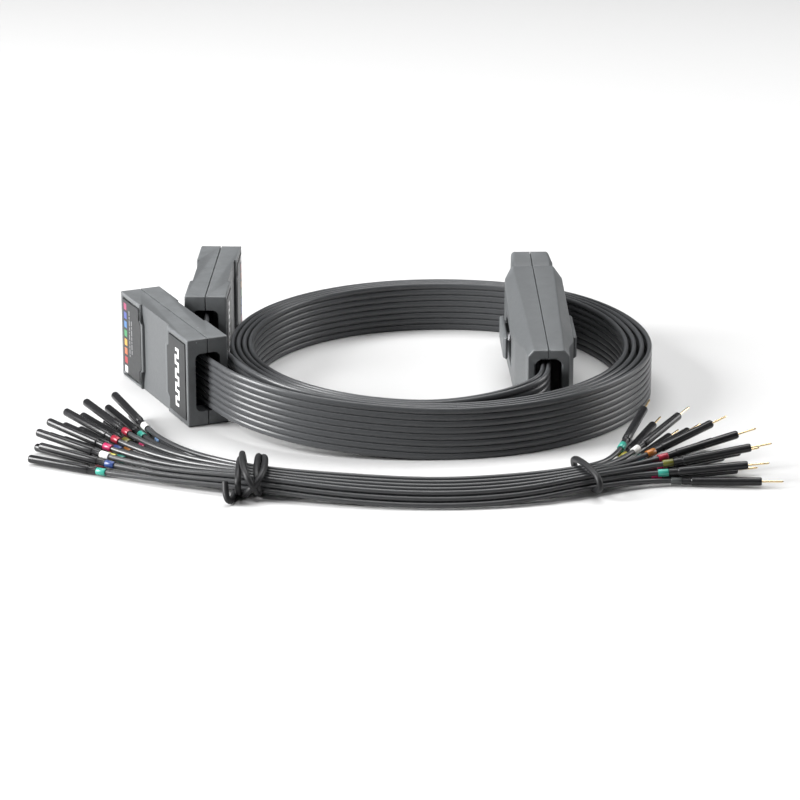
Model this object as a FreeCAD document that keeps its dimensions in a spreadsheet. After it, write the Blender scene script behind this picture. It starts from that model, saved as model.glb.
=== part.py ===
import FreeCAD, Part
import math
import os
import re
import Sketcher

# Sixteen channel logic probe set: one oscilloscope plug with two squeeze latches, two eight channel
# ribbon cables wound into a coil, two probe pods and a tied bundle of sixteen flying leads.
# Millimetres, +Z up, +Y away from the front, origin under the middle of the three housings.

Vector = FreeCAD.Vector
Rotation = FreeCAD.Rotation
Placement = FreeCAD.Placement

doc = FreeCAD.newDocument("logic_probe_set")

# ---------------------------------------------------------------- driving dimensions
SIZES = {
    # plug housing: six stations from the cable end to the shoulder, then the nose
    "plug_length": 86.0,
    "nose_length": 13.0,
    "collar_at": 8.0,
    "flare_at": 17.0,
    "grip_at": 34.0,
    "shoulder_at": 68.0,
    "mouth_side": 6.35,
    "collar_side": 6.7,
    "flare_side": 8.9,
    "grip_side": 9.4,
    "shoulder_side": 9.2,
    "step_side": 7.3,
    "nose_base_side": 6.9,
    "nose_tip_side": 6.2,
    "mouth_roof": 4.7,
    "shoulder_roof": 6.6,
    "mouth_tall": 24.5,
    "shoulder_tall": 28.9,
    "nose_tall": 30.0,
    "mouth_bevel": 1.9,
    "collar_bevel": 2.3,
    "flare_bevel": 3.6,
    "grip_bevel": 5.0,
    "shoulder_bevel": 2.6,
    "nose_bevel": 1.0,
    "split_gap": 0.2,
    "plug_cavity_side": 5.4,
    "plug_cavity_tall": 20.4,
    "plug_cavity_from": 10.0,
    "plug_cavity_to": 72.0,
    "nose_opening_side": 4.7,
    "nose_opening_tall": 26.0,
    "nose_opening_deep": 10.0,
    "exit_wide": 8.0,
    "exit_tall": 18.4,
    # latch levers
    "lever_outer": 11.5,
    "lever_thick": 1.5,
    "lever_tall": 7.0,
    "lever_tip_at": 35.0,
    "pivot_at": 56.0,
    "pivot_side": 8.0,
    "pivot_pin_radius": 0.75,
    "pivot_clearance": 0.05,
    "lug_radius": 1.35,
    "lug_tall": 3.2,
    "window_margin": 0.5,
    "finger_recess_deep": 1.4,
    "finger_recess_tall": 9.0,
    "pivot_pin_tall": 11.0,
    "spring_thick": 0.35,
    "spring_long": 1.75,
    # plug insides
    "plug_screw_near": 22.0,
    "plug_screw_far": 63.0,
    "plug_board_from": 26.0,
    "plug_board_gap": 6.0,
    "insulator_deep": 5.5,
    "tongue_side": 1.04,
    "tongue_tall": 19.0,
    "tongue_short": 2.5,
    "contact_thick": 0.26,
    "contact_wide": 0.6,
    "contact_short": 3.0,
    "contact_pitch": 1.8,
    # probe pods
    "pod_length": 57.0,
    "pod_thick": 13.2,
    "pod_tall": 27.6,
    "waist_from": 17.0,
    "waist_to": 40.4,
    "waist_deep": 1.0,
    "bulge_deep": 1.6,
    "bulge_tall": 15.0,
    "bulge_slope": 1.1,
    "plate_thick": 0.6,
    "plate_proud": 0.1,
    "plate_border": 1.7,
    "pod_cavity_side": 4.8,
    "pod_cavity_tall": 23.2,
    "pod_cavity_from": 6.0,
    "pod_cavity_to": 46.0,
    "header_bay_side": 3.3,
    "header_bay_tall": 22.6,
    "header_deep": 9.0,
    "header_thick": 2.5,
    "header_pitch": 2.54,
    "header_pin": 0.64,
    "header_pin_short": 2.0,
    "pod_screw_at": 29.0,
    "pod_screw_rise": 9.0,
    "pod_board_gap": 0.5,
    "chip_near": 24.0,
    "chip_far": 33.0,
    "chip_long": 6.0,
    "chip_tall": 7.0,
    "chip_high": 1.6,
    # boards, clamps and screws
    "board_thick": 1.2,
    "plug_board_tall": 19.0,
    "pod_board_tall": 12.4,
    "clamp_at": 12.0,
    "clamp_long": 5.0,
    "fit_clearance": 0.15,
    "screw_radius": 0.95,
    "screw_head_radius": 1.9,
    "screw_head_tall": 1.3,
    "screw_clearance": 0.05,
    "boss_radius": 2.1,
    "screw_bite": 3.6,
    # ribbon cable
    "ribbon_thick": 1.45,
    "ribbon_pitch": 1.5,
    "ribbon_fan": 0.675,
    "ribbon_fan_lean": 0.275,
    "ribbon_wide": 16.0,
    "coil_radius": 57.45,
    "coil_oval": 1.4,
    "nose_push": 3.4,
    # flying leads
    "wire_radius": 0.75,
    "sleeve_radius": 1.1,
    "sleeve_long": 3.0,
    "socket_radius": 1.25,
    "socket_long": 20.0,
    "socket_bore_radius": 0.42,
    "socket_bore_deep": 8.0,
    "boot_radius": 1.0,
    "boot_long": 3.0,
    "tip_pin_radius": 0.32,
    "tip_pin_long": 6.2,
    "tip_pin_held": 3.0,
    "tip_root_side": 0.56,
    # twist ties
    "tie_inside_wide": 16.0,
    "tie_inside_tall": 5.4,
    "tie_wall": 1.6,
    "tie_shift": 1.75,
    "left_tie_long": 7.0,
    "right_tie_long": 5.0,
}

sheet = doc.addObject("Spreadsheet::Sheet", "sizes")
for row, (alias, value) in enumerate(SIZES.items(), start=1):
    sheet.set("A%d" % row, alias)
    sheet.set("B%d" % row, str(value))
    sheet.setAlias("B%d" % row, alias)
doc.recompute()


def size(alias):
    """The present value of one driving dimension."""
    return float(getattr(sheet, alias))


ALIASES = re.compile(r"\b(%s)\b" % "|".join(SIZES))


def expression(text):
    """A formula over the driving dimensions, written with their bare names, bound to the sheet."""
    return ALIASES.sub(r"sizes.\1", text)


def value(text):
    """The number that such a formula gives."""
    numbers = ALIASES.sub(lambda found: "(%.6f)" % size(found.group(1)), text)
    return float(FreeCAD.Units.parseQuantity(numbers).Value)


# ---------------------------------------------------------------- poses of the three housings
def heading(degrees):
    return Rotation(Vector(0, 0, 1), degrees - 90.0)


PLUG_AT = (60.7, -50.5)
PLUG_HEADING = 91.8
POD_A_AT = (-41.9, -48.7)
POD_A_HEADING = 114.87
POD_B_AT = (-44.9, -5.8)
POD_B_HEADING = 87.8

# The plug rests on the nose's near end and on its cable end, so it leans by the difference of the two.
rest_rise = (size("nose_tall") - size("mouth_tall")) / 2
plug_tilt = math.degrees(math.atan(rest_rise / (size("plug_length") - size("nose_length"))))
plug_rise = size("mouth_tall") / 2 / math.cos(math.radians(plug_tilt))
plug_pose = Placement(
    Vector(PLUG_AT[0], PLUG_AT[1], plug_rise),
    heading(PLUG_HEADING).multiply(Rotation(Vector(1, 0, 0), plug_tilt)))
pod_a_pose = Placement(Vector(POD_A_AT[0], POD_A_AT[1], size("pod_tall") / 2), heading(POD_A_HEADING))
pod_b_pose = Placement(
    Vector(POD_B_AT[0], POD_B_AT[1], size("pod_tall") / 2),
    heading(POD_B_HEADING).multiply(Rotation(Vector(0, 1, 0), 180)))

nodes = []


def finish(item, label, pose):
    """Names a finished sub-part, puts it in its place and lists it for export."""
    item.Label = label
    item.Placement = pose
    nodes.append(item)
    return item


# ---------------------------------------------------------------- sketch and feature helpers
def origin_plane(body, role):
    return next(plane for plane in body.Origin.OriginFeatures if plane.Role == role)


def outline(body, name, role, points, offset="0"):
    """A closed sketch of straight lines on one of the body's planes, each corner bound to the sheet."""
    sketch = body.newObject("Sketcher::SketchObject", name)
    sketch.AttachmentSupport = [(origin_plane(body, role), "")]
    sketch.MapMode = "FlatFace"
    if offset != "0":
        sketch.setExpression("AttachmentOffset.Base.z", expression(offset))
    corners = [Vector(value(x), value(y), 0) for x, y in points]
    count = len(corners)
    for index in range(count):
        sketch.addGeometry(Part.LineSegment(corners[index], corners[(index + 1) % count]), False)
    for index in range(count):
        sketch.addConstraint(Sketcher.Constraint("Coincident", index, 2, (index + 1) % count, 1))
    for index, (x, y) in enumerate(points):
        for kind, text in (("DistanceX", x), ("DistanceY", y)):
            number = sketch.addConstraint(Sketcher.Constraint(kind, -1, 1, index, 1, value(text)))
            sketch.setExpression("Constraints[%d]" % number, expression(text))
    return sketch


def circle(body, name, role, x, y, radius, offset="0"):
    """A sketch of one circle on one of the body's own planes."""
    sketch = body.newObject("Sketcher::SketchObject", name)
    sketch.AttachmentSupport = [(origin_plane(body, role), "")]
    sketch.MapMode = "FlatFace"
    if offset != "0":
        sketch.setExpression("AttachmentOffset.Base.z", expression(offset))
    centre = Vector(value(x), value(y), 0)
    sketch.addGeometry(Part.Circle(centre, Vector(0, 0, 1), value(radius)), False)
    for kind, text in (("DistanceX", x), ("DistanceY", y)):
        number = sketch.addConstraint(Sketcher.Constraint(kind, -1, 1, 0, 3, value(text)))
        sketch.setExpression("Constraints[%d]" % number, expression(text))
    number = sketch.addConstraint(Sketcher.Constraint("Radius", 0, value(radius)))
    sketch.setExpression("Constraints[%d]" % number, expression(radius))
    return sketch


def rectangle(x_low, x_high, y_low, y_high):
    return [(x_low, y_low), (x_high, y_low), (x_high, y_high), (x_low, y_high)]


def extrude(body, kind, sketch, length, reversed_side=False, midplane=False):
    """A Pad or Pocket whose volume change is checked."""
    before = body.Shape.Volume if body.Tip and not body.Shape.isNull() else 0.0
    feature = body.newObject("PartDesign::" + kind, kind + "_" + sketch.Name)
    feature.Profile = sketch
    feature.setExpression("Length", expression(length))
    feature.Reversed = reversed_side
    feature.Midplane = midplane
    doc.recompute()
    change = body.Shape.Volume - before
    if (kind == "Pocket" and change > -1e-6) or (kind == "Pad" and change < 1e-6):
        raise ValueError("%s %s changes nothing" % (kind, sketch.Name))
    return feature


def loft(body, sections):
    feature = body.newObject("PartDesign::AdditiveLoft", "Loft_" + sections[0].Name)
    feature.Profile = sections[0]
    feature.Sections = sections[1:]
    feature.Ruled = True
    doc.recompute()
    return feature


def box(name, low, high):
    """A Part box between two corners given as formulas."""
    item = doc.addObject("Part::Box", name)
    for axis, prop, start, end in zip("xyz", ("Length", "Width", "Height"), low, high):
        item.setExpression("Placement.Base." + axis, expression(start))
        item.setExpression(prop, expression("(%s) - (%s)" % (end, start)))
    return item


def cylinder(name, base, direction, radius, length):
    """A Part cylinder along X, Y or Z from a base point given as formulas."""
    item = doc.addObject("Part::Cylinder", name)
    turns = {
        "+X": Rotation(Vector(0, 1, 0), 90),
        "-X": Rotation(Vector(0, 1, 0), -90),
        "+Y": Rotation(Vector(1, 0, 0), -90),
        "+Z": Rotation(),
    }
    item.Placement = Placement(Vector(), turns[direction])
    for axis, start in zip("xyz", base):
        item.setExpression("Placement.Base." + axis, expression(start))
    item.setExpression("Radius", expression(radius))
    item.setExpression("Height", expression(length))
    return item


def cut(name, base, tool):
    item = doc.addObject("Part::Cut", name)
    item.Base = base
    item.Tool = tool
    return item


def fuse(name, *shapes):
    item = doc.addObject("Part::MultiFuse", name)
    item.Shapes = list(shapes)
    return item


def group(name, shapes):
    """Several identical loose pieces that share one node."""
    item = doc.addObject("Part::Compound", name)
    item.Links = shapes
    return item


# ---------------------------------------------------------------- plug
PLUG_SCREWS_AT = ("plug_screw_near", "plug_screw_far")
CONTACTS_PER_SIDE = 10


def plug_station(body, name, side, at, half_wide, roof, tall, bevel):
    """Half of the plug's eight sided section, on one side of the split plane."""
    inner = "%s * split_gap / 2" % side
    points = [
        (inner, "-(%s) / 2" % tall),
        ("%s * (%s)" % (side, roof), "-(%s) / 2" % tall),
        ("%s * (%s)" % (side, half_wide), "-(%s) / 2 + (%s)" % (tall, bevel)),
        ("%s * (%s)" % (side, half_wide), "(%s) / 2 - (%s)" % (tall, bevel)),
        ("%s * (%s)" % (side, roof), "(%s) / 2" % tall),
        (inner, "(%s) / 2" % tall),
    ]
    return outline(body, name, "XZ_Plane", points, "-(%s)" % at)


def between(start, end, at):
    """A size that runs evenly from the cable end to the shoulder."""
    return "%s + (%s - %s) * (%s) / shoulder_at" % (start, end, start, at)


def plug_shell(label, side):
    """One half shell: lofted outside, cavity, cable exit, nose opening, lever window and bosses."""
    body = doc.addObject("PartDesign::Body", label)
    step_at = "plug_length - nose_length"
    stations = [
        ("0", "mouth_side", "mouth_bevel"),
        ("collar_at", "collar_side", "collar_bevel"),
        ("flare_at", "flare_side", "flare_bevel"),
        ("grip_at", "grip_side", "grip_bevel"),
        ("shoulder_at", "shoulder_side", "shoulder_bevel"),
    ]
    sections = []
    for number, (at, half_wide, bevel) in enumerate(stations):
        name = "%s_station_%d" % (label, number)
        roof = between("mouth_roof", "shoulder_roof", at)
        tall = between("mouth_tall", "shoulder_tall", at)
        sections.append(plug_station(body, name, side, at, half_wide, roof, tall, bevel))
    sections.append(plug_station(
        body, label + "_station_step", side, step_at, "step_side", "step_side - nose_bevel",
        "shoulder_tall", "nose_bevel"))
    loft(body, sections)
    base = plug_station(
        body, label + "_nose_base", side, step_at, "nose_base_side", "nose_base_side - nose_bevel",
        "nose_tall", "nose_bevel")
    tip = plug_station(
        body, label + "_nose_tip", side, "plug_length", "nose_tip_side", "nose_tip_side - nose_bevel",
        "nose_tall", "nose_bevel")
    loft(body, [base, tip])
    cavity = outline(body, label + "_cavity", "XY_Plane", rectangle(
        "0", "%s * plug_cavity_side" % side, "plug_cavity_from", "plug_cavity_to"))
    extrude(body, "Pocket", cavity, "plug_cavity_tall", midplane=True)
    mouth = outline(body, label + "_exit", "XY_Plane", rectangle(
        "0", "%s * exit_wide / 2" % side, "-1", "plug_cavity_from + 1"))
    extrude(body, "Pocket", mouth, "exit_tall", midplane=True)
    front = outline(body, label + "_front", "XY_Plane", rectangle(
        "0", "%s * nose_opening_side" % side, "plug_length - nose_opening_deep", "plug_length + 1"))
    extrude(body, "Pocket", front, "nose_opening_tall", midplane=True)
    neck = outline(body, label + "_neck", "XY_Plane", rectangle(
        "0", "%s * nose_opening_side" % side, "plug_cavity_to - 1", "plug_length - nose_opening_deep + 1"))
    extrude(body, "Pocket", neck, "plug_cavity_tall", midplane=True)
    window = outline(body, label + "_window", "XY_Plane", rectangle(
        "%s * (pivot_side - lug_radius - window_margin)" % side, "%s * (lever_outer + 1)" % side,
        "pivot_at - lug_radius - window_margin", "pivot_at + lug_radius + window_margin"))
    extrude(body, "Pocket", window, "finger_recess_tall", midplane=True)
    recess = outline(body, label + "_finger_recess", "XY_Plane", rectangle(
        "%s * (grip_side - finger_recess_deep)" % side, "%s * (lever_outer + 1)" % side,
        "lever_tip_at - 4", "pivot_at - lug_radius"))
    extrude(body, "Pocket", recess, "finger_recess_tall", midplane=True)
    pivot = circle(body, label + "_pivot_hole", "XY_Plane", "%s * pivot_side" % side, "pivot_at",
                   "pivot_pin_radius + pivot_clearance")
    extrude(body, "Pocket", pivot, "pivot_pin_tall + 2 * pivot_clearance", midplane=True)
    for number, at in enumerate(PLUG_SCREWS_AT):
        boss = circle(body, "%s_boss_%d" % (label, number), "YZ_Plane", at, "0", "boss_radius",
                      "%s * split_gap / 2" % side)
        extrude(body, "Pad", boss, "plug_cavity_side", reversed_side=side == "-1")
        screw_hole(body, "%s_screw_hole_%d" % (label, number), side, at, "0", "grip_side")
    return finish(body, label, plug_pose)


def screw_hole(body, name, side, at, height, wall):
    """A clearance hole with a sunk head on the back side, a blind pilot hole on the front side."""
    hole = circle(body, name, "YZ_Plane", at, height, "screw_radius + screw_clearance",
                  "%s * split_gap / 2" % side)
    if side == "1":
        extrude(body, "Pocket", hole, "%s + 1" % wall, reversed_side=True)
        seat = circle(body, name + "_seat", "YZ_Plane", at, height, "screw_head_radius + screw_clearance",
                      "%s - 2 * screw_head_tall" % wall)
        extrude(body, "Pocket", seat, "3 * screw_head_tall", reversed_side=True)
    else:
        extrude(body, "Pocket", hole, "screw_bite")


def screw(name, at, height, wall):
    """A pan head screw from the back side into the front side's boss."""
    head = cylinder(name + "_head", ("%s - 2 * screw_head_tall" % wall, at, height), "+X",
                    "screw_head_radius", "screw_head_tall")
    shank = cylinder(name + "_shank", ("-screw_bite + fit_clearance", at, height), "+X",
                     "screw_radius", "%s - 2 * screw_head_tall + screw_bite - fit_clearance" % wall)
    return fuse(name, head, shank)


def lever(label, side):
    """A squeeze latch: a long arm, a lug that reaches into the wall and a bore for its pivot pin."""
    body = doc.addObject("PartDesign::Body", label)
    arm = outline(body, label + "_arm", "XY_Plane", [
        ("%s * (lever_outer - lever_thick)" % side, "lever_tip_at + lever_thick / 2"),
        ("%s * (lever_outer - lever_thick / 2)" % side, "lever_tip_at"),
        ("%s * lever_outer" % side, "lever_tip_at + lever_thick"),
        ("%s * lever_outer" % side, "pivot_at + lug_radius - lever_thick"),
        ("%s * (lever_outer - lever_thick)" % side, "pivot_at + lug_radius"),
    ])
    extrude(body, "Pad", arm, "lever_tall", midplane=True)
    lug = outline(body, label + "_lug", "XY_Plane", rectangle(
        "%s * pivot_side" % side, "%s * (lever_outer - lever_thick / 2)" % side,
        "pivot_at - lug_radius", "pivot_at + lug_radius"))
    extrude(body, "Pad", lug, "lug_tall", midplane=True)
    barrel = circle(body, label + "_barrel", "XY_Plane", "%s * pivot_side" % side, "pivot_at", "lug_radius")
    extrude(body, "Pad", barrel, "lug_tall", midplane=True)
    bore = circle(body, label + "_bore", "XY_Plane", "%s * pivot_side" % side, "pivot_at",
                  "pivot_pin_radius + pivot_clearance")
    extrude(body, "Pocket", bore, "lever_tall", midplane=True)
    return finish(body, label, plug_pose)


def latch_spring(label, side):
    """A small coil round the pivot pin, above the lug, drawn as its plain outer sleeve."""
    base = ("%s * pivot_side" % side, "pivot_at", "lug_tall / 2 + fit_clearance")
    outer = cylinder(label + "_outer", base, "+Z", "lug_radius", "spring_long")
    inner = cylinder(label + "_inner", base, "+Z", "lug_radius - spring_thick", "spring_long")
    return finish(cut(label, outer, inner), label, plug_pose)


def cable_clamp(label, pose, half_wide, half_tall, slot_wide):
    """A block that closes round the ribbon where it enters the housing."""
    outer = box(label + "_block", ("-(%s)" % half_wide, "clamp_at", "-(%s)" % half_tall),
                (half_wide, "clamp_at + clamp_long", half_tall))
    slot = box(label + "_slot", ("-(%s) / 2 - fit_clearance" % slot_wide, "clamp_at - 1",
                                 "-ribbon_wide / 2 - 2 * fit_clearance"),
               ("(%s) / 2 + fit_clearance" % slot_wide, "clamp_at + clamp_long + 1",
                "ribbon_wide / 2 + 2 * fit_clearance"))
    return finish(cut(label, outer, slot), label, pose)


def build_plug():
    plug_shell("plug_shell_left", "-1")
    plug_shell("plug_shell_right", "1")
    for label, side in (("latch_lever_left", "-1"), ("latch_lever_right", "1")):
        lever(label, side)
        latch_spring(label.replace("lever", "spring"), side)
    pins = []
    for label, side in (("left", "-1"), ("right", "1")):
        base = ("%s * pivot_side" % side, "pivot_at", "-pivot_pin_tall / 2")
        pins.append(cylinder("pivot_pin_" + label, base, "+Z", "pivot_pin_radius", "pivot_pin_tall"))
    finish(group("latch_pivot_pins", pins), "latch_pivot_pins", plug_pose)
    bay_floor = "plug_length - nose_opening_deep"
    board = box("plug_board_plate", ("-board_thick / 2", "plug_board_from", "-plug_board_tall / 2"),
                ("board_thick / 2", bay_floor + " - plug_board_gap", "plug_board_tall / 2"))
    hole = cylinder("plug_board_hole", ("-board_thick", "plug_screw_far", "0"), "+X",
                    "boss_radius + 2 * fit_clearance", "board_thick * 2")
    finish(cut("plug_circuit_board", board, hole), "plug_circuit_board", plug_pose)
    half_tall = "plug_cavity_tall / 2 - fit_clearance"
    cable_clamp("plug_cable_clamp", plug_pose, "plug_cavity_side - fit_clearance", half_tall,
                "2 * ribbon_pitch")
    insulator = box("plug_insulator", (
        "-nose_opening_side + 2 * fit_clearance", bay_floor + " - insulator_deep", "-(%s)" % half_tall),
        ("nose_opening_side - 2 * fit_clearance", bay_floor, half_tall))
    tongue = box("plug_tongue", ("-tongue_side", bay_floor + " - 1", "-tongue_tall / 2"),
                 ("tongue_side", "plug_length - tongue_short", "tongue_tall / 2"))
    finish(fuse("plug_contact_block", insulator, tongue), "plug_contact_block", plug_pose)
    contacts = []
    for row in range(CONTACTS_PER_SIDE):
        height = "%g * contact_pitch" % (row - (CONTACTS_PER_SIDE - 1) / 2)
        for label, start in (("left", "-tongue_side - contact_thick"), ("right", "tongue_side")):
            low = (start, bay_floor, height + " - contact_wide / 2")
            high = (start + " + contact_thick", "plug_length - contact_short",
                    height + " + contact_wide / 2")
            contacts.append(box("contact_%s_%d" % (label, row), low, high))
    finish(group("plug_contacts", contacts), "plug_contacts", plug_pose)
    screws = []
    for number, at in enumerate(PLUG_SCREWS_AT):
        screws.append(screw("plug_screw_%d" % number, at, "0", "grip_side"))
    finish(group("plug_screws", screws), "plug_screws", plug_pose)


# ---------------------------------------------------------------- pods
POD_SCREWS = (("pod_screw_at", "-pod_screw_rise"), ("pod_screw_at", "pod_screw_rise"))
HEADER_ROWS = 8
PLATE_SPANS = {
    "front": ("plate_border", "waist_from - plate_border"),
    "channel": ("waist_to + plate_border / 2", "pod_length - plate_border"),
}
POD_WALL = "(pod_thick / 2 - waist_deep)"


def bulged_edge(at, way, tall, less):
    """One end of a face, from bottom to top, its middle standing out towards ``way``, shrunk by ``less``."""
    out = "%s + %d * (bulge_deep)" % (at, way)
    high = "(%s) / 2" % tall
    bend = "(bulge_tall / 2 - %s)" % less
    foot = "(bulge_tall / 2 + bulge_slope - %s)" % less
    rising = [(at, "-%s" % high), (at, "-%s" % foot), (out, "-%s" % bend)]
    return rising + [(out, bend), (at, foot), (at, high)]


def plate_corners(name, low, high, less):
    """The outline of a label plate or its seat: a rectangle with a bulge on the side of the waist."""
    tall = "pod_tall - 2 * plate_border - 2 * (%s)" % less
    near = "%s + %s" % (low, less)
    far = "%s - %s" % (high, less)
    if name == "front":
        return [(near, "(%s) / 2" % tall), (near, "-(%s) / 2" % tall)] + bulged_edge(far, 1, tall, less)
    return bulged_edge(near, -1, tall, less) + [(far, "(%s) / 2" % tall), (far, "-(%s) / 2" % tall)]


def pod_shell(label, side, pose):
    """One half shell of a pod: full end blocks, sunk waist, ribbon exit, cavity and header bay."""
    body = doc.addObject("PartDesign::Body", label)
    inner = "%s * split_gap / 2" % side
    plan = outline(body, label + "_plan", "XY_Plane", rectangle(
        inner, "%s * pod_thick / 2" % side, "0", "pod_length"))
    extrude(body, "Pad", plan, "pod_tall", midplane=True)
    near_edge = bulged_edge("waist_from", 1, "pod_tall", "0")
    far_edge = bulged_edge("waist_to", -1, "pod_tall", "0")
    waist = outline(body, label + "_waist", "YZ_Plane", near_edge + far_edge[::-1],
                    "%s * (pod_thick / 2 - waist_deep)" % side)
    extrude(body, "Pocket", waist, "waist_deep + 1", reversed_side=side == "1")
    cavity = outline(body, label + "_cavity", "XY_Plane", rectangle(
        "0", "%s * pod_cavity_side" % side, "pod_cavity_from", "pod_cavity_to"))
    extrude(body, "Pocket", cavity, "pod_cavity_tall", midplane=True)
    mouth = outline(body, label + "_exit", "XY_Plane", rectangle(
        "0", "%s * exit_wide / 2" % side, "-1", "pod_cavity_from + 1"))
    extrude(body, "Pocket", mouth, "exit_tall", midplane=True)
    bay = outline(body, label + "_bay", "XY_Plane", rectangle(
        "0", "%s * header_bay_side" % side, "pod_cavity_to - 1", "pod_length + 1"))
    extrude(body, "Pocket", bay, "header_bay_tall", midplane=True)
    if side == "-1":
        for name, (low, high) in PLATE_SPANS.items():
            seat = outline(body, "%s_%s_seat" % (label, name), "YZ_Plane",
                           plate_corners(name, low, high, "0"), "-(pod_thick / 2 - plate_thick + plate_proud)")
            extrude(body, "Pocket", seat, "plate_thick + 1")
    for number, (at, height) in enumerate(POD_SCREWS):
        name = "%s_boss_%d" % (label, number)
        boss = circle(body, name, "YZ_Plane", at, height, "boss_radius", inner)
        extrude(body, "Pad", boss, "pod_cavity_side", reversed_side=side == "-1")
        screw_hole(body, "%s_screw_hole_%d" % (label, number), side, at, height, POD_WALL)
    return finish(body, label, pose)


def inlay_plate(label, name, span, pose):
    """A thin label plate seated in the pod's front side, with the same bulge as the block under it."""
    body = doc.addObject("PartDesign::Body", label)
    plate = outline(body, label + "_outline", "YZ_Plane", plate_corners(name, *span, "fit_clearance"),
                    "-(pod_thick / 2 + plate_proud)")
    extrude(body, "Pad", plate, "plate_thick")
    return finish(body, label, pose)


def build_pod(prefix, pose):
    pod_shell(prefix + "_front_shell", "-1", pose)
    pod_shell(prefix + "_back_shell", "1", pose)
    for name, span in PLATE_SPANS.items():
        inlay_plate("%s_%s_plate" % (prefix, name), name, span, pose)
    bay_floor = "pod_length - header_deep"
    board = box(prefix + "_board_plate", (
        "-board_thick / 2", "clamp_at + clamp_long + 1", "-pod_board_tall / 2"),
        ("board_thick / 2", bay_floor + " - header_thick - pod_board_gap", "pod_board_tall / 2"))
    finish(group(prefix + "_circuit_board", [board]), prefix + "_circuit_board", pose)
    chips = []
    for at in ("chip_near", "chip_far"):
        chips.append(box("%s_%s" % (prefix, at), ("board_thick / 2", at, "-chip_tall / 2"),
                         ("board_thick / 2 + chip_high", at + " + chip_long", "chip_tall / 2")))
    finish(group(prefix + "_buffer_chips", chips), prefix + "_buffer_chips", pose)
    half_wide = "header_bay_side - fit_clearance"
    half_tall = "header_bay_tall / 2 - fit_clearance"
    header = box(prefix + "_header_block", (
        "-(%s)" % half_wide, bay_floor + " - header_thick", "-(%s)" % half_tall),
        (half_wide, bay_floor, half_tall))
    finish(group(prefix + "_header_body", [header]), prefix + "_header_body", pose)
    pins = []
    for row in range(HEADER_ROWS):
        height = "%g * header_pitch" % (row - (HEADER_ROWS - 1) / 2)
        for label, across in (("left", "-header_pitch / 2"), ("right", "header_pitch / 2")):
            pins.append(box("%s_pin_%s_%d" % (prefix, label, row), (
                across + " - header_pin / 2", bay_floor, height + " - header_pin / 2"),
                (across + " + header_pin / 2", "pod_length - header_pin_short",
                 height + " + header_pin / 2")))
    finish(group(prefix + "_header_pins", pins), prefix + "_header_pins", pose)
    cable_clamp(prefix + "_cable_clamp", pose, "pod_cavity_side - fit_clearance",
                "pod_cavity_tall / 2 - fit_clearance", "ribbon_pitch")
    screws = []
    for number, (at, height) in enumerate(POD_SCREWS):
        screws.append(screw("%s_screw_%d" % (prefix, number), at, height, POD_WALL))
    finish(group(prefix + "_screws", screws), prefix + "_screws", pose)


# ---------------------------------------------------------------- ribbon cable
COIL_CENTRE = (26.55, -13.55)
COIL_STEPS = 48
NOSE_TURN = 217.0
NOSE_SPREAD = 24.0
NOSE_FADE = 0.11


def coil_point(turned, layer, height=0.0):
    """A point of the wound cable: the angle wound since the front, and the layer counted outwards.

    The layers fan out at the sides, less beside the pods, and the plug's nose pushes the near ones out.
    """
    fan = size("ribbon_fan") - size("ribbon_fan_lean") * math.sin(turned)
    pitch = size("ribbon_pitch") + fan * math.sin(turned) ** 2
    off_nose = (math.degrees(turned) - NOSE_TURN + 180) % 360 - 180
    push = size("nose_push") * math.exp(-(off_nose / NOSE_SPREAD) ** 2) * (1 - NOSE_FADE * layer)
    radius = size("coil_radius") + size("coil_oval") * math.cos(2 * turned) + pitch * layer + push
    angle = -math.pi / 2 - turned
    return Vector(
        COIL_CENTRE[0] + radius * math.cos(angle), COIL_CENTRE[1] + radius * math.sin(angle), height)


def spiral_edge(first_turn, offset):
    """One whole turn of the cable's edge, as a smooth curve."""
    points = []
    for step in range(COIL_STEPS + 1):
        turned = 2 * math.pi * (first_turn + step / COIL_STEPS)
        points.append(coil_point(turned, turned / math.pi + offset))
    curve = Part.BSplineCurve()
    curve.interpolate(points)
    return curve.toShape()


def closed_turn(first_turn, offset):
    edge = spiral_edge(first_turn, offset)
    step = Part.LineSegment(edge.valueAt(edge.LastParameter), edge.valueAt(edge.FirstParameter)).toShape()
    return Part.Wire([edge, step])


def solid_feature(label, shape):
    item = doc.addObject("Part::Feature", label)
    item.Shape = shape
    return finish(item, label, Placement())


def build_coil():
    outer = Part.Face(closed_turn(1, 1.5))
    inner = Part.Face(closed_turn(0, -0.5))
    ring = outer.extrude(Vector(0, 0, size("ribbon_wide")))
    hole = inner.extrude(Vector(0, 0, size("ribbon_wide")))
    solid_feature("ribbon_coil", ring.cut(hole))


def route_wire(points, radii):
    """Straight runs joined by tangent arcs: each arc has 0.45 of its shorter run on either side."""
    edges = []
    start = points[0]
    for before, here, after in zip(points, points[1:], points[2:]):
        back = (before - here).normalize()
        ahead = (after - here).normalize()
        reach = 0.45 * min((before - here).Length, (after - here).Length)
        half_turn = (math.pi - back.getAngle(ahead)) / 2
        radius = reach / math.tan(half_turn)
        radii.append(radius)
        enter = here + back * reach
        leave = here + ahead * reach
        middle_way = (back + ahead).normalize()
        middle = here + middle_way * (radius / math.cos(half_turn) - radius)
        edges.append(Part.LineSegment(start, enter).toShape())
        edges.append(Part.Arc(enter, middle, leave).toShape())
        start = leave
    edges.append(Part.LineSegment(start, points[-1]).toShape())
    return Part.Wire(edges)


def check_volume(label, shape, section, wire):
    share = shape.Volume / (section * wire.Length)
    if not 0.98 < share < 1.02:
        raise ValueError("%s holds %.3f of its section times its length" % (label, share))


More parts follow.
